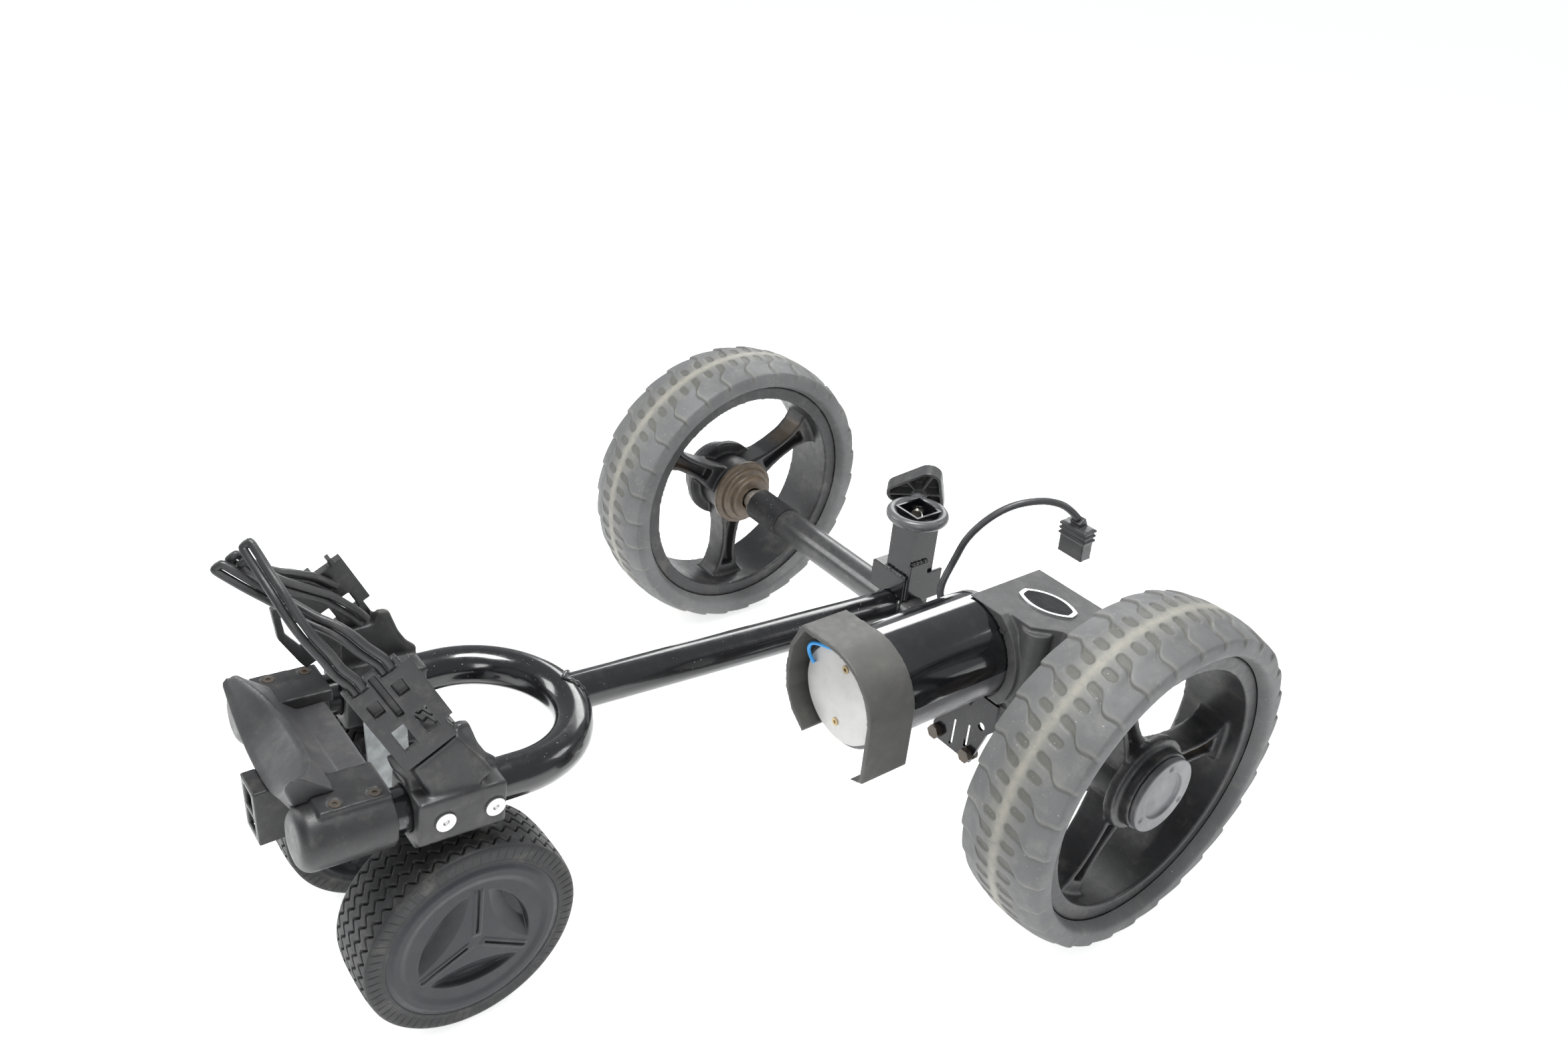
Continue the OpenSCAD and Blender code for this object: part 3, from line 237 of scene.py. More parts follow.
LOOKS = {
    "gloss_black_paint": dict(colour=(0.0075, 0.0075, 0.0085), rough=0.2, spread=0.07, grain=0.05,
        grain_scale=500, coat=0.5, dust=0.05, dust_low=0.6, specks=0.35),
    "socket_paint": dict(colour=(0.006, 0.006, 0.008), rough=0.2, grain=0.05, grain_scale=500, coat=0.1,
        dust=0.05, specks=0.3, specular=0.35),
    "collar_paint": dict(colour=(0.085, 0.087, 0.09), rough=0.3, grain=0.12, grain_scale=500,
        dust=0.12),
    "matt_sleeve": dict(colour=(0.008, 0.008, 0.009), rough=0.55, grain=0.5, grain_scale=700, dust=0.1,
        specks=0.7),
    "bright_steel": dict(colour=(0.55, 0.52, 0.47), rough=0.32, metal=0.9, grain=0.15, dust=0.25,
        dust_colour=TAN),
    "gearbox_black": dict(colour=(0.02, 0.02, 0.021), rough=0.5, grain=0.2, grain_scale=900, dust=0.1),
    "cover_plastic": dict(colour=(0.052, 0.052, 0.053), rough=0.5, light=1.15, dark=0.88, grain=0.35,
        grain_scale=1700, dust=0.1),
    "badge_metal": dict(colour=(0.72, 0.72, 0.73), rough=0.16, metal=0.85, grain=0.04),
    "screw_steel": dict(colour=(0.7, 0.7, 0.69), rough=0.3, metal=0.85, grain=0.08),
    "bearing_steel": dict(colour=(0.2, 0.2, 0.2), rough=0.3, metal=0.9, grain=0.08),
    "can_grey": dict(colour=(0.095, 0.095, 0.1), rough=0.36, grain=0.1, grain_scale=800, coat=0.2),
    "wrap_gloss": dict(colour=(0.006, 0.0065, 0.0075), rough=0.09, spread=0.03, grain=0.05,
        grain_scale=350, coat=1.0, dust=0.03),
    "plate_aluminium": dict(colour=(0.55, 0.545, 0.53), rough=0.48, metal=0.55, light=1.1, dark=0.86,
        grain=0.5, grain_scale=2600),
    "brass_screws": dict(colour=(0.42, 0.33, 0.19), rough=0.35, metal=0.9, grain=0.2, dust=0.2,
        dust_colour=TAN),
    "hood_rubber": dict(colour=(0.064, 0.063, 0.059), rough=0.5, light=1.2, dark=0.85, grain=0.2,
        grain_scale=1500, dust=0.09),
    "magnet_iron": dict(colour=(0.08, 0.08, 0.08), rough=0.6, grain=0.5),
    "brush_brown": dict(colour=(0.12, 0.06, 0.03), rough=0.5, grain=0.3),
    "lead_blue": dict(colour=(0.02, 0.3, 0.72), rough=0.35, light=1.1, dark=0.9, grain=0.05),
    "rusty_bolts": dict(colour=(0.1, 0.085, 0.07), rough=0.45, metal=0.6, grain=0.4, dust=0.6,
        dust_colour=(0.2, 0.11, 0.06)),
    "cable_black": dict(colour=(0.04, 0.04, 0.042), rough=0.36, grain=0.12, grain_scale=900, dust=0.06),
    "front_plastic": dict(colour=(0.022, 0.022, 0.023), rough=0.42, grain=0.3, grain_scale=1500,
        dust=0.12),
    "saddle_rubber": dict(colour=(0.042, 0.042, 0.044), rough=0.47, light=1.2, dark=0.85, grain=0.25,
        grain_scale=1600, dust=0.1),
    "ladder_plastic": dict(colour=(0.022, 0.022, 0.023), rough=0.4, grain=0.25, grain_scale=1500,
        dust=0.14),
    "galvanised": dict(colour=(0.68, 0.71, 0.72), rough=0.35, metal=0.75, mottle=70, grain=0.2,
        grain_scale=500),
    "strap_rubber": dict(colour=(0.02, 0.02, 0.021), rough=0.45, grain=0.25, grain_scale=900,
        dust=0.08),
    # Rear tyre layers: the crown is dust, with a painted highlight along the lugs' raised edges; the second layer
    # is painted shade in the pockets and grooves.
    "rear_tyre_rubber": dict(colour=(0.108, 0.111, 0.111), rough=0.58, light=1.15, dark=0.82, grain=0.3,
        grain_scale=1200, dust=0.22, dust_low=0.52, specks=0.5,
        layers=(("crown", (0.265, 0.255, 0.215), 0.9), ("painted_shade", (0.07, 0.066, 0.05), 0.85))),
    "rim_plastic": dict(colour=(0.022, 0.022, 0.0235), rough=0.42, grain=0.3, grain_scale=1100,
        dust=0.16, layers=(("soil", (0.15, 0.105, 0.06), 0.62),)),
    "cap_plastic": dict(colour=(0.12, 0.12, 0.128), rough=0.4, grain=0.25, dust=0.15),
    "worm_wheel_bronze": dict(colour=(0.45, 0.28, 0.11), rough=0.3, metal=0.95, grain=0.2),
    "armature_copper": dict(colour=(0.25, 0.13, 0.07), rough=0.45, metal=0.6, grain=0.5,
        streak=(1, 12, 1)),
    "worm_steel": dict(colour=(0.5, 0.5, 0.52), rough=0.25, metal=0.95, grain=0.1),
    # Front tyre: its layer is painted shade in the zigzag grooves.
    "front_tyre_rubber": dict(colour=(0.022, 0.022, 0.023), rough=0.5, grain=0.3, grain_scale=1100,
        dust=0.18, layers=(("painted_shade", (0.006, 0.006, 0.006), 0.9),), specular=0.3),
    # Front cover: its layer is painted shade in the three grooves and hollows.
    "front_cap_plastic": dict(colour=(0.03, 0.031, 0.035), rough=0.34, light=1.1, dark=0.92, grain=0.08,
        grain_scale=1500, dust=0.03, layers=(("painted_shade", (0.007, 0.0075, 0.008), 0.8),), specular=0.22),
    "knob_plastic": dict(colour=(0.042, 0.042, 0.043), rough=0.42, grain=0.25, dust=0.15),
    "axle_satin": dict(colour=(0.036, 0.036, 0.037), rough=0.34, light=1.3, dark=0.75, grain=0.1,
        coat=0.25, dust=0.14, specks=0.6),
    "badge_dark": dict(colour=(0.012, 0.012, 0.013), rough=0.62, grain=0.1, specular=0.2),
    "screw_dull": dict(colour=(0.1, 0.1, 0.1), rough=0.4, metal=0.6),
    "weld": dict(colour=(0.012, 0.012, 0.013), rough=0.25, grain=0.8, grain_scale=260, coat=0.4),
}
MATERIALS = {name: finish(name, **look) for name, look in LOOKS.items()}
SLOTS = {s["node"]: s["material_slot"] for s in frame["record"]["subparts"]}
for node_name, cad in frame["nodes"].items():
    cad.data.materials.clear()
    cad.data.materials.append(MATERIALS[SLOTS[node_name]])


# ---------------------------------------------------------------- mesh helpers
WELD_DISTANCE = 1e-6


def add_piece(name, mesh, body, slot, material=None, replaces=(), smooth=True):
    piece = bpy.data.objects.new(name, mesh)
    scene.collection.objects.link(piece)
    mesh.materials.clear()
    mesh.materials.append(MATERIALS[material or slot])
    if smooth:
        mesh.polygons.foreach_set("use_smooth", [True] * len(mesh.polygons))
    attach(piece, body)
    if replaces:
        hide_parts(*replaces)
    return piece


def grid_mesh(name, points, masks=None):
    """A sheet of quads through points[row, column], closed from the last row back to the first."""
    rows, columns = points.shape[:2]
    index = np.arange(rows * columns).reshape(rows, columns)
    after = np.roll(index, -1, axis=0)
    corners = [index[:, :-1], after[:, :-1], after[:, 1:], index[:, 1:]]
    quads = np.stack(corners, axis=-1).reshape(-1, 4)
    mesh = bpy.data.meshes.new(name)
    mesh.vertices.add(rows * columns)
    mesh.vertices.foreach_set("co", points.reshape(-1).astype(np.float32))
    mesh.loops.add(quads.size)
    mesh.loops.foreach_set("vertex_index", quads.reshape(-1).astype(np.int32))
    mesh.polygons.add(len(quads))
    mesh.polygons.foreach_set("loop_start", np.arange(0, quads.size, 4, dtype=np.int32))
    mesh.update(calc_edges=True)
    for key, values in (masks or {}).items():
        layer = mesh.attributes.new(key, "FLOAT", "POINT")
        layer.data.foreach_set("value", values.reshape(-1).astype(np.float32))
    return mesh


def evaluated(piece):
    """The mesh of an object once its modifiers have run."""
    graph = bpy.context.evaluated_depsgraph_get()
    return bpy.data.meshes.new_from_object(piece.evaluated_get(graph), depsgraph=graph)


def moulded(node, voxel=1.2, rounds=4, body="chassis", keep=0.35):
    """Stands a copy with soft edges in for a CAD node, as if it were moulded. Voxels in millimetres."""
    source = frame["nodes"][node].data.copy()
    clean = bmesh.new()
    clean.from_mesh(source)
    bmesh.ops.remove_doubles(clean, verts=clean.verts, dist=WELD_DISTANCE)
    clean.to_mesh(source)
    clean.free()
    work = bpy.data.objects.new(node + "_work", source)
    scene.collection.objects.link(work)
    remesh = work.modifiers.new("remesh", "REMESH")
    remesh.mode = "VOXEL"
    remesh.voxel_size = voxel * MM
    relax = work.modifiers.new("relax", "SMOOTH")
    relax.factor = 0.5
    relax.iterations = rounds
    thin = work.modifiers.new("thin", "DECIMATE")
    thin.ratio = keep
    mesh = evaluated(work)
    bpy.data.objects.remove(work)
    return add_piece(node + "_moulded", mesh, body, SLOTS[node], replaces=[node])


# ---------------------------------------------------------------- cords
CORD_SLIM = 0.98  # cords are drawn this much thinner than their nodes, so that they stay inside them


def smoothed(points):
    """The same smoothing as the frame's own cords: one more point between each two of the route."""
    p = [Vector(q) for q in points]
    out = [p[0]]
    for i in range(len(p) - 1):
        out.append((9 * (p[i] + p[i + 1]) - p[max(i - 1, 0)] - p[min(i + 2, len(p) - 1)]) / 16)
        out.append(p[i + 1])
    return out


def round_line(name, points, radius, resolution):
    """A curve of round section through points in metres, and its one spline."""
    data = bpy.data.curves.new(name, "CURVE")
    data.dimensions = "3D"
    data.bevel_depth = radius
    data.bevel_resolution = resolution
    data.use_fill_caps = True
    line = data.splines.new("POLY")
    line.points.add(len(points) - 1)
    for spot, point in zip(line.points, points):
        spot.co = (*point, 1)
    return data, line


def cord_curve(name, points, radius, slot, replaces):
    data, line = round_line(name, points, radius * MM * CORD_SLIM, 6)
    line.use_smooth = True
    data.materials.append(MATERIALS[slot])
    piece = bpy.data.objects.new(name, data)
    scene.collection.objects.link(piece)
    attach(piece, "chassis")
    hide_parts(*replaces)
    return piece


CABLE_RADIUS = 3.5
CABLE_ROUTE = [(92, 0, 172), (82, 0, 172), (73, 0, 173), (64, 0, 176), (56, 0, 181), (49, 2, 190),
               (46, 7, 200), (45, 14, 211), (46, 19, 223), (48, 24, 237), (52, 33, 251), (59, 46, 265),
               (68, 62, 275), (80, 83, 279), (90, 101, 274), (97, 114, 262)]


def add_cable():
    points = smoothed(smoothed([cart(*p) for p in CABLE_ROUTE]))
    return cord_curve("cable", points, CABLE_RADIUS, "cable_black", ["motor_cable"]), points


STRAP_RADIUS = 2.8
STRAP_GAP = 3.1
STRAP_SIDE = Vector((-0.21, -0.77, -0.6))
TIP_REACH = 0.8
TIP_WIDTH = 0.55
STRAP_ROUTES = {
    "right_upper_strap": [(68, -519, 306.5), (66.3, -522.2, 313.1), (63.5, -531.1, 323.2),
        (59, -537.8, 331.6), (52, -545.3, 337.6), (44, -553.7, 341.5), (34, -560.3, 345),
        (24, -567.9, 349.4), (11, -579.3, 356.1), (0, -591.6, 365.8)],
    "right_lower_strap": [(68, -537.8, 297.3), (66.3, -541, 303.9), (63.5, -547.9, 312.7),
        (60.5, -552.9, 323.2), (56, -558.7, 333.3), (51, -563.7, 343.3), (44, -567.1, 351.7),
        (35, -569.9, 360.5), (21, -572.8, 369.3), (8, -576.5, 380.6)],
    "left_upper_strap": [(-65, -505.9, 288.9), (-62, -513.8, 296.9), (-56, -522.8, 306.8),
        (-48, -534.1, 316.5), (-40, -544.5, 325.3), (-31, -553.3, 333.6), (-21, -564.7, 345.4),
        (-12, -574.5, 357.8), (-5, -582.3, 368.2)],
    "left_lower_strap": [(-68, -485, 252.1), (-66, -491.3, 261.8), (-62, -501.6, 274.4),
        (-56, -512.8, 288), (-47, -525.1, 300.6), (-37, -538.2, 314.2), (-25, -552.4, 329.7),
        (-15, -562.3, 342.6), (-6, -571, 354.9), (1, -577.7, 366.2)],
}


def strap_loop(route):
    """A strap's cord, out along one side of its route, round the tip and back along the other side."""
    p = [Vector(q) for q in route]
    side = STRAP_GAP * STRAP_SIDE
    tip = p[-1] + TIP_REACH * STRAP_GAP * (p[-1] - p[-2]).normalized()
    out = [q - side for q in p]
    back = [q + side for q in reversed(p)]
    loop = out + [tip - TIP_WIDTH * side, tip + TIP_WIDTH * side] + back
    return smoothed([cart(*q) for q in smoothed(loop)])


cable, cable_points = add_cable()
for strap_name, strap_route in STRAP_ROUTES.items():
    loop_points = strap_loop(strap_route)
    strap = cord_curve(strap_name + "_loop", loop_points, STRAP_RADIUS, "strap_rubber", [strap_name])


# ---------------------------------------------------------------- rear tyres
REAR_R = 150.0
REAR_HALF = 41.5
REAR_STEPS = 960
# The side wall from the rim outwards: half width and radius.
REAR_WALL = [(31, 124), (33, 124.6), (36, 125.8), (39, 127.2), (40.6, 128.3), (41.3, 129.6), (41.5, 131.5),
             (41.5, 134), (41.5, 136.5), (41.5, 138.6), (41.4, 140.2), (41.1, 141.6), (40.5, 142.8),
             (39.6, 143.5)]
TREAD_HALF = 38.5
SHOULDER_DROP = 7.3
TREAD_PAIRS = 30
POCKET_START = 8.4
POCKET_DEPTH = 1.1
SHELF_DEPTH = 2.1
GROOVE_DEPTH = 0.4


def capsule(s, v, s0, v0, s1, v1, r):
    """Distance in millimetres from a capsule's edge, negative inside."""
    ds, dv = s1 - s0, v1 - v0
    t = np.clip(((s - s0) * ds + (v - v0) * dv) / (ds * ds + dv * dv), 0, 1)
    return np.hypot(s - s0 - t * ds, v - v0 - t * dv) - r


def soft_step(x, low, high):
    t = np.clip((x - low) / (high - low), 0, 1)
    return t * t * (3 - 2 * t)


def rear_tread(angle, u):
    """Depth of the tread's pockets and lug steps, and masks of the dusty crown, with a painted highlight along
    each lug's raised edge, and of painted shade in the pockets and grooves.

    The steps below are spans of v, the distance from the crown's line.
    """
    v = np.abs(u)
    pitch = 2 * math.pi / TREAD_PAIRS
    run = pitch * REAR_R
    lean = np.sign(u) * (1.5 * soft_step(v, 5, 14) + 10.5 * soft_step(v, 13, 31)
                         + 1.8 * np.sin((v - 9) / 6.5) * soft_step(v, 18, 27))
    turned = angle + np.where(u > 0, pitch / 2, 0)
    s_long = ((turned + pitch / 2) % pitch - pitch / 2) * REAR_R
    s_short = (turned % pitch - pitch / 2) * REAR_R
    off_long = (s_long - lean + 1.5 * run) % run - run / 2
    half_width = 0.7 + 3.6 * (1 - soft_step(v, 14, 25))
    long_gap = np.hypot(off_long, np.maximum(POCKET_START - v, 0)) - half_width
    short_gap = capsule(s_short, v, np.sign(u) * 0.2, POCKET_START, np.sign(u) * 1.2, 14.5, 4.0)
    long_pocket = soft_step(-long_gap, -0.6, 0.9) * (1 - 0.6 * soft_step(v, 21, 26))
    pocket = np.maximum(long_pocket, soft_step(-short_gap, -0.6, 0.9))
    saw = (off_long / run) % 1
    lug = soft_step(v, 15, 25)
    shelf = (1 - saw) ** 1.4 * soft_step(saw, 0.0, 0.05) * lug
    groove = np.exp(-((saw - 0.03) * run / 1.1) ** 2) * lug
    depth = POCKET_DEPTH * pocket + SHELF_DEPTH * shelf + GROOVE_DEPTH * groove
    crown = 0.7 * (1 - soft_step(v, 0, 8)) + 0.3 * (1 - soft_step(v, 6, 24))
    # Painted highlight: the crown's light colour laid along each lug's raised edge, added to the crown's dust
    # mask.
    ridge = 0.3 * np.exp(-((saw - 0.95) * run / 1.6) ** 2) * lug
    # Painted shade: a darker colour laid in the pockets and grooves, weaker towards the shoulder.
    dark = pocket * (0.72 - 0.35 * soft_step(v, 21, 26)) + 0.55 * groove
    return depth, np.clip(crown * (1 - 0.8 * pocket) + ridge, 0, 1), np.clip(dark, 0, 1)


def full_turn(steps):
    return np.arange(steps) * 2 * math.pi / steps


def about_axle(centre, across, radius, theta):
    """Points of a wheel, from millimetres along its axle and out from it."""
    return np.stack([centre.x + across * MM, centre.y + radius * np.cos(theta) * MM,
                     centre.z + radius * np.sin(theta) * MM], axis=-1)


def faced(side, *grids):
    """The grids with their columns turned round on a left wheel, so that its faces look outwards."""
    return [grid[:, ::-1] if side < 0 else grid for grid in grids]


def rear_tyre(side, centre, body, node):
    crown_u = np.linspace(-TREAD_HALF, TREAD_HALF, 110)
    crown_r = REAR_R - SHOULDER_DROP * (np.abs(crown_u) / REAR_HALF) ** 2.5
    inner = [(-e[0], e[1]) for e in REAR_WALL]
    profile = inner + list(zip(crown_u, crown_r)) + list(reversed(REAR_WALL))
    profile_u = np.array([p[0] for p in profile])
    profile_r = np.array([p[1] for p in profile])
    theta, u = np.meshgrid(full_turn(REAR_STEPS), profile_u, indexing="ij")
    radius = np.broadcast_to(profile_r, theta.shape).copy()
    depth, crown, painted_shade = rear_tread(theta, side * u)
    near = soft_step(radius, 134, 143)
    radius = radius - depth * near
    wall = 0.7 * depth * near * soft_step(np.abs(u), 39, 41.3)
    across = side * (u - np.sign(u) * wall)
    points = about_axle(centre, across, radius, theta)
    points, crown, painted_shade, near = faced(side, points, crown, painted_shade, near)
    mesh = grid_mesh(node + "_tread", points, masks={"crown": crown * near, "painted_shade": painted_shade * near})
    return add_piece(node + "_tread", mesh, body, "rear_tyre_rubber", replaces=[node])


def paint_soil(piece, hub, side, spoke_angles):
    """Dried soil on the hub's inner collar and in some of the spokes' pockets."""
    mesh = piece.data
    spots = np.empty(len(mesh.vertices) * 3, np.float32)
    mesh.vertices.foreach_get("co", spots)
    x, y, z = ((spots.reshape(-1, 3) - np.array(hub)) / MM).T
    r = np.hypot(y, z)
    inboard = side * x
    amount = 1.0 if side < 0 else 0.5
    soil = soft_step(-inboard, 18, 26) * (1 - soft_step(r, 36, 48)) * amount
    angle = np.degrees(np.arctan2(z, y))
    for spoke in spoke_angles:
        away = np.abs((angle - spoke + 180) % 360 - 180)
        beside = 1 - soft_step(away * r * math.pi / 180, 4, 8)
        pocket = beside * soft_step(r, 60, 80) * (1 - soft_step(r, 100, 112))
        soil = np.maximum(soil, pocket * (1 - soft_step(np.abs(inboard), 9, 13)))
    layer = mesh.attributes.new("soil", "FLOAT", "POINT")
    layer.data.foreach_set("value", np.clip(soil, 0, 1).astype(np.float32))


rear_tyre(-1, LEFT_HUB, "left_wheel", "left_tyre")
rear_tyre(1, RIGHT_HUB, "right_wheel", "right_tyre")
# Rim, its body, hub and side, and the angles in degrees of its two soiled spokes.
RIMS = (
    ("left_rim", "left_wheel", LEFT_HUB, -1, (152.5, 32.5)),
    ("right_rim", "right_wheel", RIGHT_HUB, 1, (-2.5, 117.5)))
for rim_node, rim_body, rim_hub, rim_side, rim_spokes in RIMS:
    rim = moulded(rim_node, voxel=1.5, rounds=5, body=rim_body, keep=0.5)
    paint_soil(rim, rim_hub, rim_side, rim_spokes)
moulded("left_hub_cap", 0.8, 3, "left_wheel")
moulded("right_hub_cap", 0.8, 3, "right_wheel")

# ---------------------------------------------------------------- front wheels
FRONT_R = 81.5
FRONT_HALF = 27.5
FRONT_STEPS = 1040
FRONT_TREAD_HALF = 25.2
# Half width and radius of the outer wall from the cover outwards, and of the bead behind it.
FRONT_WALL = [(27.5, 65.8), (27.9, 67.2), (27.4, 68.2), (27.5, 69.5), (27.5, 72), (27.5, 74.5), (27.4, 76.2),
              (27.0, 77.8), (26.4, 79.0)]
FRONT_BEAD = [(-18, 63), (-24, 63.5), (-26.5, 65)]
ZIGZAG_LINES = (-20.0, -10.0, 0.0, 10.0, 20.0)
ZIGZAG_COUNT = 44
ZIGZAG_SWING = 2.4
ZIGZAG_RUN = 0.36
ZIGZAG_HALF_WIDTH = 1.3
ZIGZAG_DEPTH = 2.4
SLITS = 72
CAP_R = 65.4
CAP_STEPS = 560
# The dish behind a front wheel: radius and distance in from the wheel's middle.
DISH = [(6.2, 19.5), (13.5, 19.5), (14, 19), (14, 13), (16, 12), (30, 11), (44, 12), (58, 14), (61, 17),
        (62, 21), (62.4, 25), (63.2, 26), (65, 26.6)]
DISH_STEPS = 360
DISH_RIBS = 6
RIB_HEIGHT = 5.0


def front_tread(theta, u):
    """How far into one of the five zigzag grooves each point lies, from 0 to 1."""
    phase = (theta * ZIGZAG_COUNT / (2 * math.pi)) % 1
    rise = np.clip(phase / ZIGZAG_RUN, 0, 1)
    fall = np.clip((phase - 0.5) / ZIGZAG_RUN, 0, 1)
    zigzag = ZIGZAG_SWING * (2 * (rise - fall) - 1)
    depth = np.zeros_like(theta)
    for at in ZIGZAG_LINES:
        depth = np.maximum(depth, soft_step(ZIGZAG_HALF_WIDTH - np.abs(u - at - zigzag), 0, 0.7))
    return depth


def front_tyre(side, centre, body, node):
    tread_u = np.linspace(-FRONT_TREAD_HALF, FRONT_TREAD_HALF, 92)
    tread_r = FRONT_R - 2.0 * (np.abs(tread_u) / FRONT_HALF) ** 3
    inner = [(-w[0], w[1]) for w in FRONT_WALL]
    profile = FRONT_BEAD + inner + list(zip(tread_u, tread_r)) + list(reversed(FRONT_WALL))
    profile_u = np.array([p[0] for p in profile])
    profile_r = np.array([p[1] for p in profile])
    theta, u = np.meshgrid(full_turn(FRONT_STEPS), profile_u, indexing="ij")
    radius = np.broadcast_to(profile_r, theta.shape).copy()
    groove = front_tread(theta, u)
    radius = radius - ZIGZAG_DEPTH * groove * soft_step(radius, 76.5, 78.5)
    slit = soft_step(0.5 + 0.5 * np.cos(theta * SLITS), 0.9, 0.985)
    outer = np.abs(profile_u) > 26
    on_wall = soft_step(profile_r, 69, 70.5) * (1 - soft_step(profile_r, 77, 79)) * outer
    across = side * (u - np.sign(u) * 0.5 * slit * on_wall)
    points = about_axle(centre, across, radius, theta)
    points, groove = faced(side, points, groove)
    # The groove mask also lays painted shade in the zigzag grooves.
    mesh = grid_mesh(node + "_tyre", points, masks={"painted_shade": groove})
    return add_piece(node + "_tyre", mesh, body, "front_tyre_rubber", replaces=[node])


def cap_height(x, y):
    """Height of the wheel cover over its plane, and the painted shade in its three grooves and hollows."""
    r = np.hypot(x, y)
    rim = 2.0 * soft_step(CAP_R - r, 0, 5)
    height = rim - 1.3 * soft_step(57 - r, 0, 6) + 0.9 * (1 - soft_step(r, 0, 50))
    groove = np.zeros_like(r)
    hollow = np.zeros_like(r)
    hollow_shade = np.zeros_like(r)
    # Each hollow gets its own strength of painted shade.
    for k, shade_weight in enumerate((1.3, 0.4, 0.9)):
        a = math.radians(85 + 120 * k)
        along = x * math.cos(a) + y * math.sin(a)
        aside = np.abs(-x * math.sin(a) + y * math.cos(a))
        line = soft_step(1.3 - aside, 0, 0.8) * soft_step(along, 7, 9) * (1 - soft_step(along, 45, 47))
        ridge = soft_step(4.2 - aside, 0, 1.6) * soft_step(along, 3, 7)
        ridge = ridge * (1 - soft_step(along, 44, 48))
        groove = np.maximum(groove, line)
        height = height + 0.7 * ridge
        b = a + math.radians(60)
        out = x * math.cos(b) + y * math.sin(b)
        over = -x * math.sin(b) + y * math.cos(b)
        inside_arc = 60 - np.hypot(over, out + 20)
        slope = np.clip((out - 20 - 0.007 * over * over) / 12, 0, 1)
        bowl = soft_step(inside_arc, 0, 2.0) * slope
        hollow = np.maximum(hollow, bowl)
        # Painted shade in the hollows, the stronger where the weight is higher.
        hollow_shade = np.maximum(hollow_shade, shade_weight * bowl)
    height = height - 1.8 * groove - 5.5 * hollow
    return height, np.clip(groove + hollow_shade, 0, 1)


def front_cap(side, centre, body, node):
    """The moulded cover; its last ring of points turns down behind the tyre's edge."""
    face = np.linspace(0.05, 60, 130)
    edge = np.linspace(60.5, CAP_R, 12)
    radii = np.concatenate([face, edge, [CAP_R + 0.2, CAP_R + 0.2]])
    theta, r = np.meshgrid(full_turn(CAP_STEPS), radii, indexing="ij")
    height, dark = cap_height(r * np.cos(theta), r * np.sin(theta))
    height[:, -1] = -6
    across = side * (FRONT_HALF - 0.1 + height)
    points, dark = faced(side, about_axle(centre, across, r, theta), dark)
    mesh = grid_mesh(node + "_cover", points, masks={"painted_shade": dark})
    return add_piece(node + "_cover", mesh, body, "front_tyre_rubber", "front_cap_plastic")


def front_disc(side, centre, body, node):
    """The wheel's inner face: a ribbed dish round the bush."""
    theta, at = np.meshgrid(full_turn(DISH_STEPS), np.arange(len(DISH)), indexing="ij")
    r = np.array([q[0] for q in DISH])[at]
    depth = np.array([q[1] for q in DISH])[at]
    ribs = soft_step(np.cos(theta * DISH_RIBS), 0.86, 0.95)
    depth = depth + RIB_HEIGHT * ribs * ((r > 15) & (r < 60))
    points, = faced(-side, about_axle(centre, -side * depth, r, theta))
    mesh = grid_mesh(node + "_dish", points)
    return add_piece(node + "_dish", mesh, body, "front_tyre_rubber", "front_cap_plastic")


for wheel_side, wheel_joint, wheel_body, wheel_node in (
        (1, "front_right_spin", "front_right", "front_right_wheel"),
        (-1, "front_left_spin", "front_left", "front_left_wheel")):
    wheel_centre = Vector(joints[wheel_joint]["pos_m"])
    front_tyre(wheel_side, wheel_centre, wheel_body, wheel_node)
    front_cap(wheel_side, wheel_centre, wheel_body, wheel_node)
    front_disc(wheel_side, wheel_centre, wheel_body, wheel_node)

# ---------------------------------------------------------------- moulded parts
# Node, voxel width in millimetres and rounds of smoothing.
MOULDED = (
    ("gearbox_cover", 1.0, 5), ("gearbox_housing", 1.4, 3), ("motor_hood", 1.0, 3),
    ("front_casings", 1.1, 6), ("bag_saddle", 1.1, 8), ("front_foot", 0.9, 2),
    ("right_bag_arm", 1.1, 50), ("right_ladder", 0.6, 2),
    ("left_bag_arm", 1.1, 50), ("left_ladder", 0.6, 2), ("left_cleat", 0.8, 3))
for moulded_node, voxel_width, smooth_rounds in MOULDED:
    moulded(moulded_node, voxel_width, smooth_rounds)
moulded("clamp_knob", 0.7, 5, "knob")
plug = moulded("cable_plug", 0.6, 1)
moulded("socket_gussets", 0.9, 2)
moulded("cable_gland", 0.6, 1)


BADGE_SHRINK_X = 0.86
BADGE_SHRINK_Y = 0.84
BADGE_LIFT = 0.3
SLEEVE_RIBS = 5
SPINE_TILT = math.radians(4.86)
SPINE_Z = 150
SPINE_BEAD = 16.3
HOOP_Y = -432
HOOP_OUTER = 72
RING_STEPS = 60


def restyled(node, material):
    """Stands an unchanged copy in for a CAD node, in another finish than its slot's."""
    mesh = frame["nodes"][node].data.copy()
    return add_piece(node + "_copy", mesh, "chassis", SLOTS[node], material, replaces=[node], smooth=False)


restyled("axle_tube", "axle_satin")
restyled("cover_screws", "screw_dull")


def badge_field():
    """The badge's blank dark field, a smaller copy of its outline standing just over the silver rim."""
    mesh = frame["nodes"]["cover_badge"].data.copy()
    corners = [v.co.copy() for v in mesh.vertices]
    centre = sum(corners, Vector()) / len(corners)
    top = max(c.z for c in corners)
    for v, c in zip(mesh.vertices, corners):
        lift = BADGE_LIFT * MM if c.z > top - 1e-5 else 0
        x = centre.x + BADGE_SHRINK_X * (c.x - centre.x)
        y = centre.y + BADGE_SHRINK_Y * (c.y - centre.y)
        v.co = (x, y, c.z + lift)
    return add_piece("badge_field", mesh, "chassis", SLOTS["cover_badge"], "badge_dark", smooth=False)


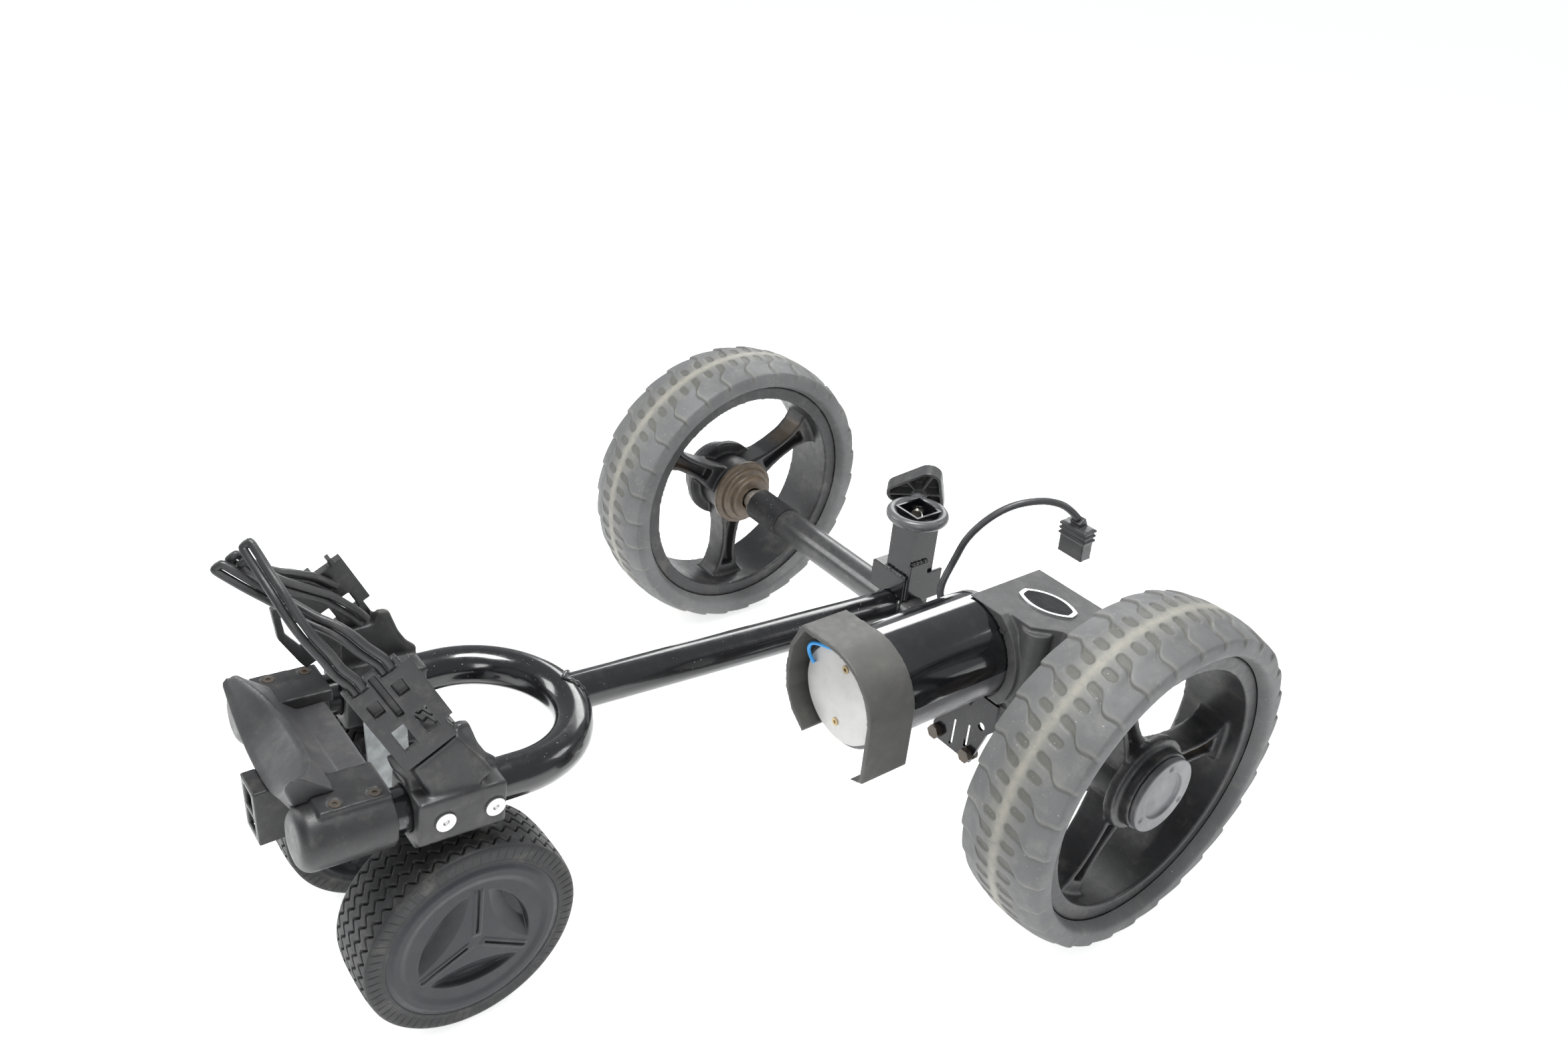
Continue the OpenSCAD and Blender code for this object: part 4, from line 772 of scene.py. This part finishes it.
def strain_relief():
    """Ribbed sleeve that thins out along the cable from the gland."""
    along = np.linspace(0, 1, 61)
    notch = np.cos(along * 2 * math.pi * SLEEVE_RIBS) > 0.2
    radius = 5.4 - 1.5 * along - 0.35 * notch
    radius[0] = radius[-1] = CABLE_RADIUS - 0.2
    theta, at = np.meshgrid(full_turn(48), along, indexing="ij")
    r = np.broadcast_to(radius, theta.shape)
    start, end = cart(92, 0, 172), cart(79, 0, 172.3)
    axis = end - start
    points = np.stack([start.x + at * axis.x, start.y + r * np.cos(theta) * MM,
                       start.z + at * axis.z + r * np.sin(theta) * MM], axis=-1)
    mesh = grid_mesh("strain_relief", points[:, ::-1])
    return add_piece("strain_relief", mesh, "chassis", "cable_black")


def weld_bead(name, points, closed=False):
    """A lumpy bead along points given as cart() takes them."""
    data, line = round_line(name, [cart(*point) for point in points], MM, 4)
    for i, spot in enumerate(line.points):
        spot.radius = 2.0 + 0.35 * math.sin(i * 2.1) + 0.2 * math.sin(i * 0.7)
    line.use_cyclic_u = closed
    work = bpy.data.objects.new(name + "_work", data)
    scene.collection.objects.link(work)
    mesh = evaluated(work)
    bpy.data.objects.remove(work)
    return add_piece(name, mesh, "chassis", "gloss_black_paint", "weld")


def along_spine(x, y, z):
    """A point given from the rising spine tube's own axis, as cart() takes it."""
    return (x, y * math.cos(SPINE_TILT) + z * math.sin(SPINE_TILT),
            SPINE_Z - y * math.sin(SPINE_TILT) + z * math.cos(SPINE_TILT))


def spine_ring(meeting):
    """A ring round the spine tube; meeting gives its place along the tube at each distance aside."""
    ring = []
    for a in full_turn(RING_STEPS):
        aside = SPINE_BEAD * math.cos(a)
        ring.append(along_spine(aside, meeting(aside), SPINE_BEAD * math.sin(a)))
    return ring


def on_hoop(aside):
    return HOOP_Y + math.sqrt((HOOP_OUTER + abs(aside)) ** 2 - aside ** 2)


def on_axle(aside):
    return -abs(aside)


badge_field()
strain_relief()
weld_bead("weld_hoop", spine_ring(on_hoop), closed=True)
weld_bead("weld_axle", spine_ring(on_axle), closed=True)
weld_bead("weld_shoe", [(-14 + 28 * k / 16, -8.2, 188) for k in range(17)])
weld_bead("weld_ear", [(15.4, -6 + 19 * k / 12, 203) for k in range(13)])
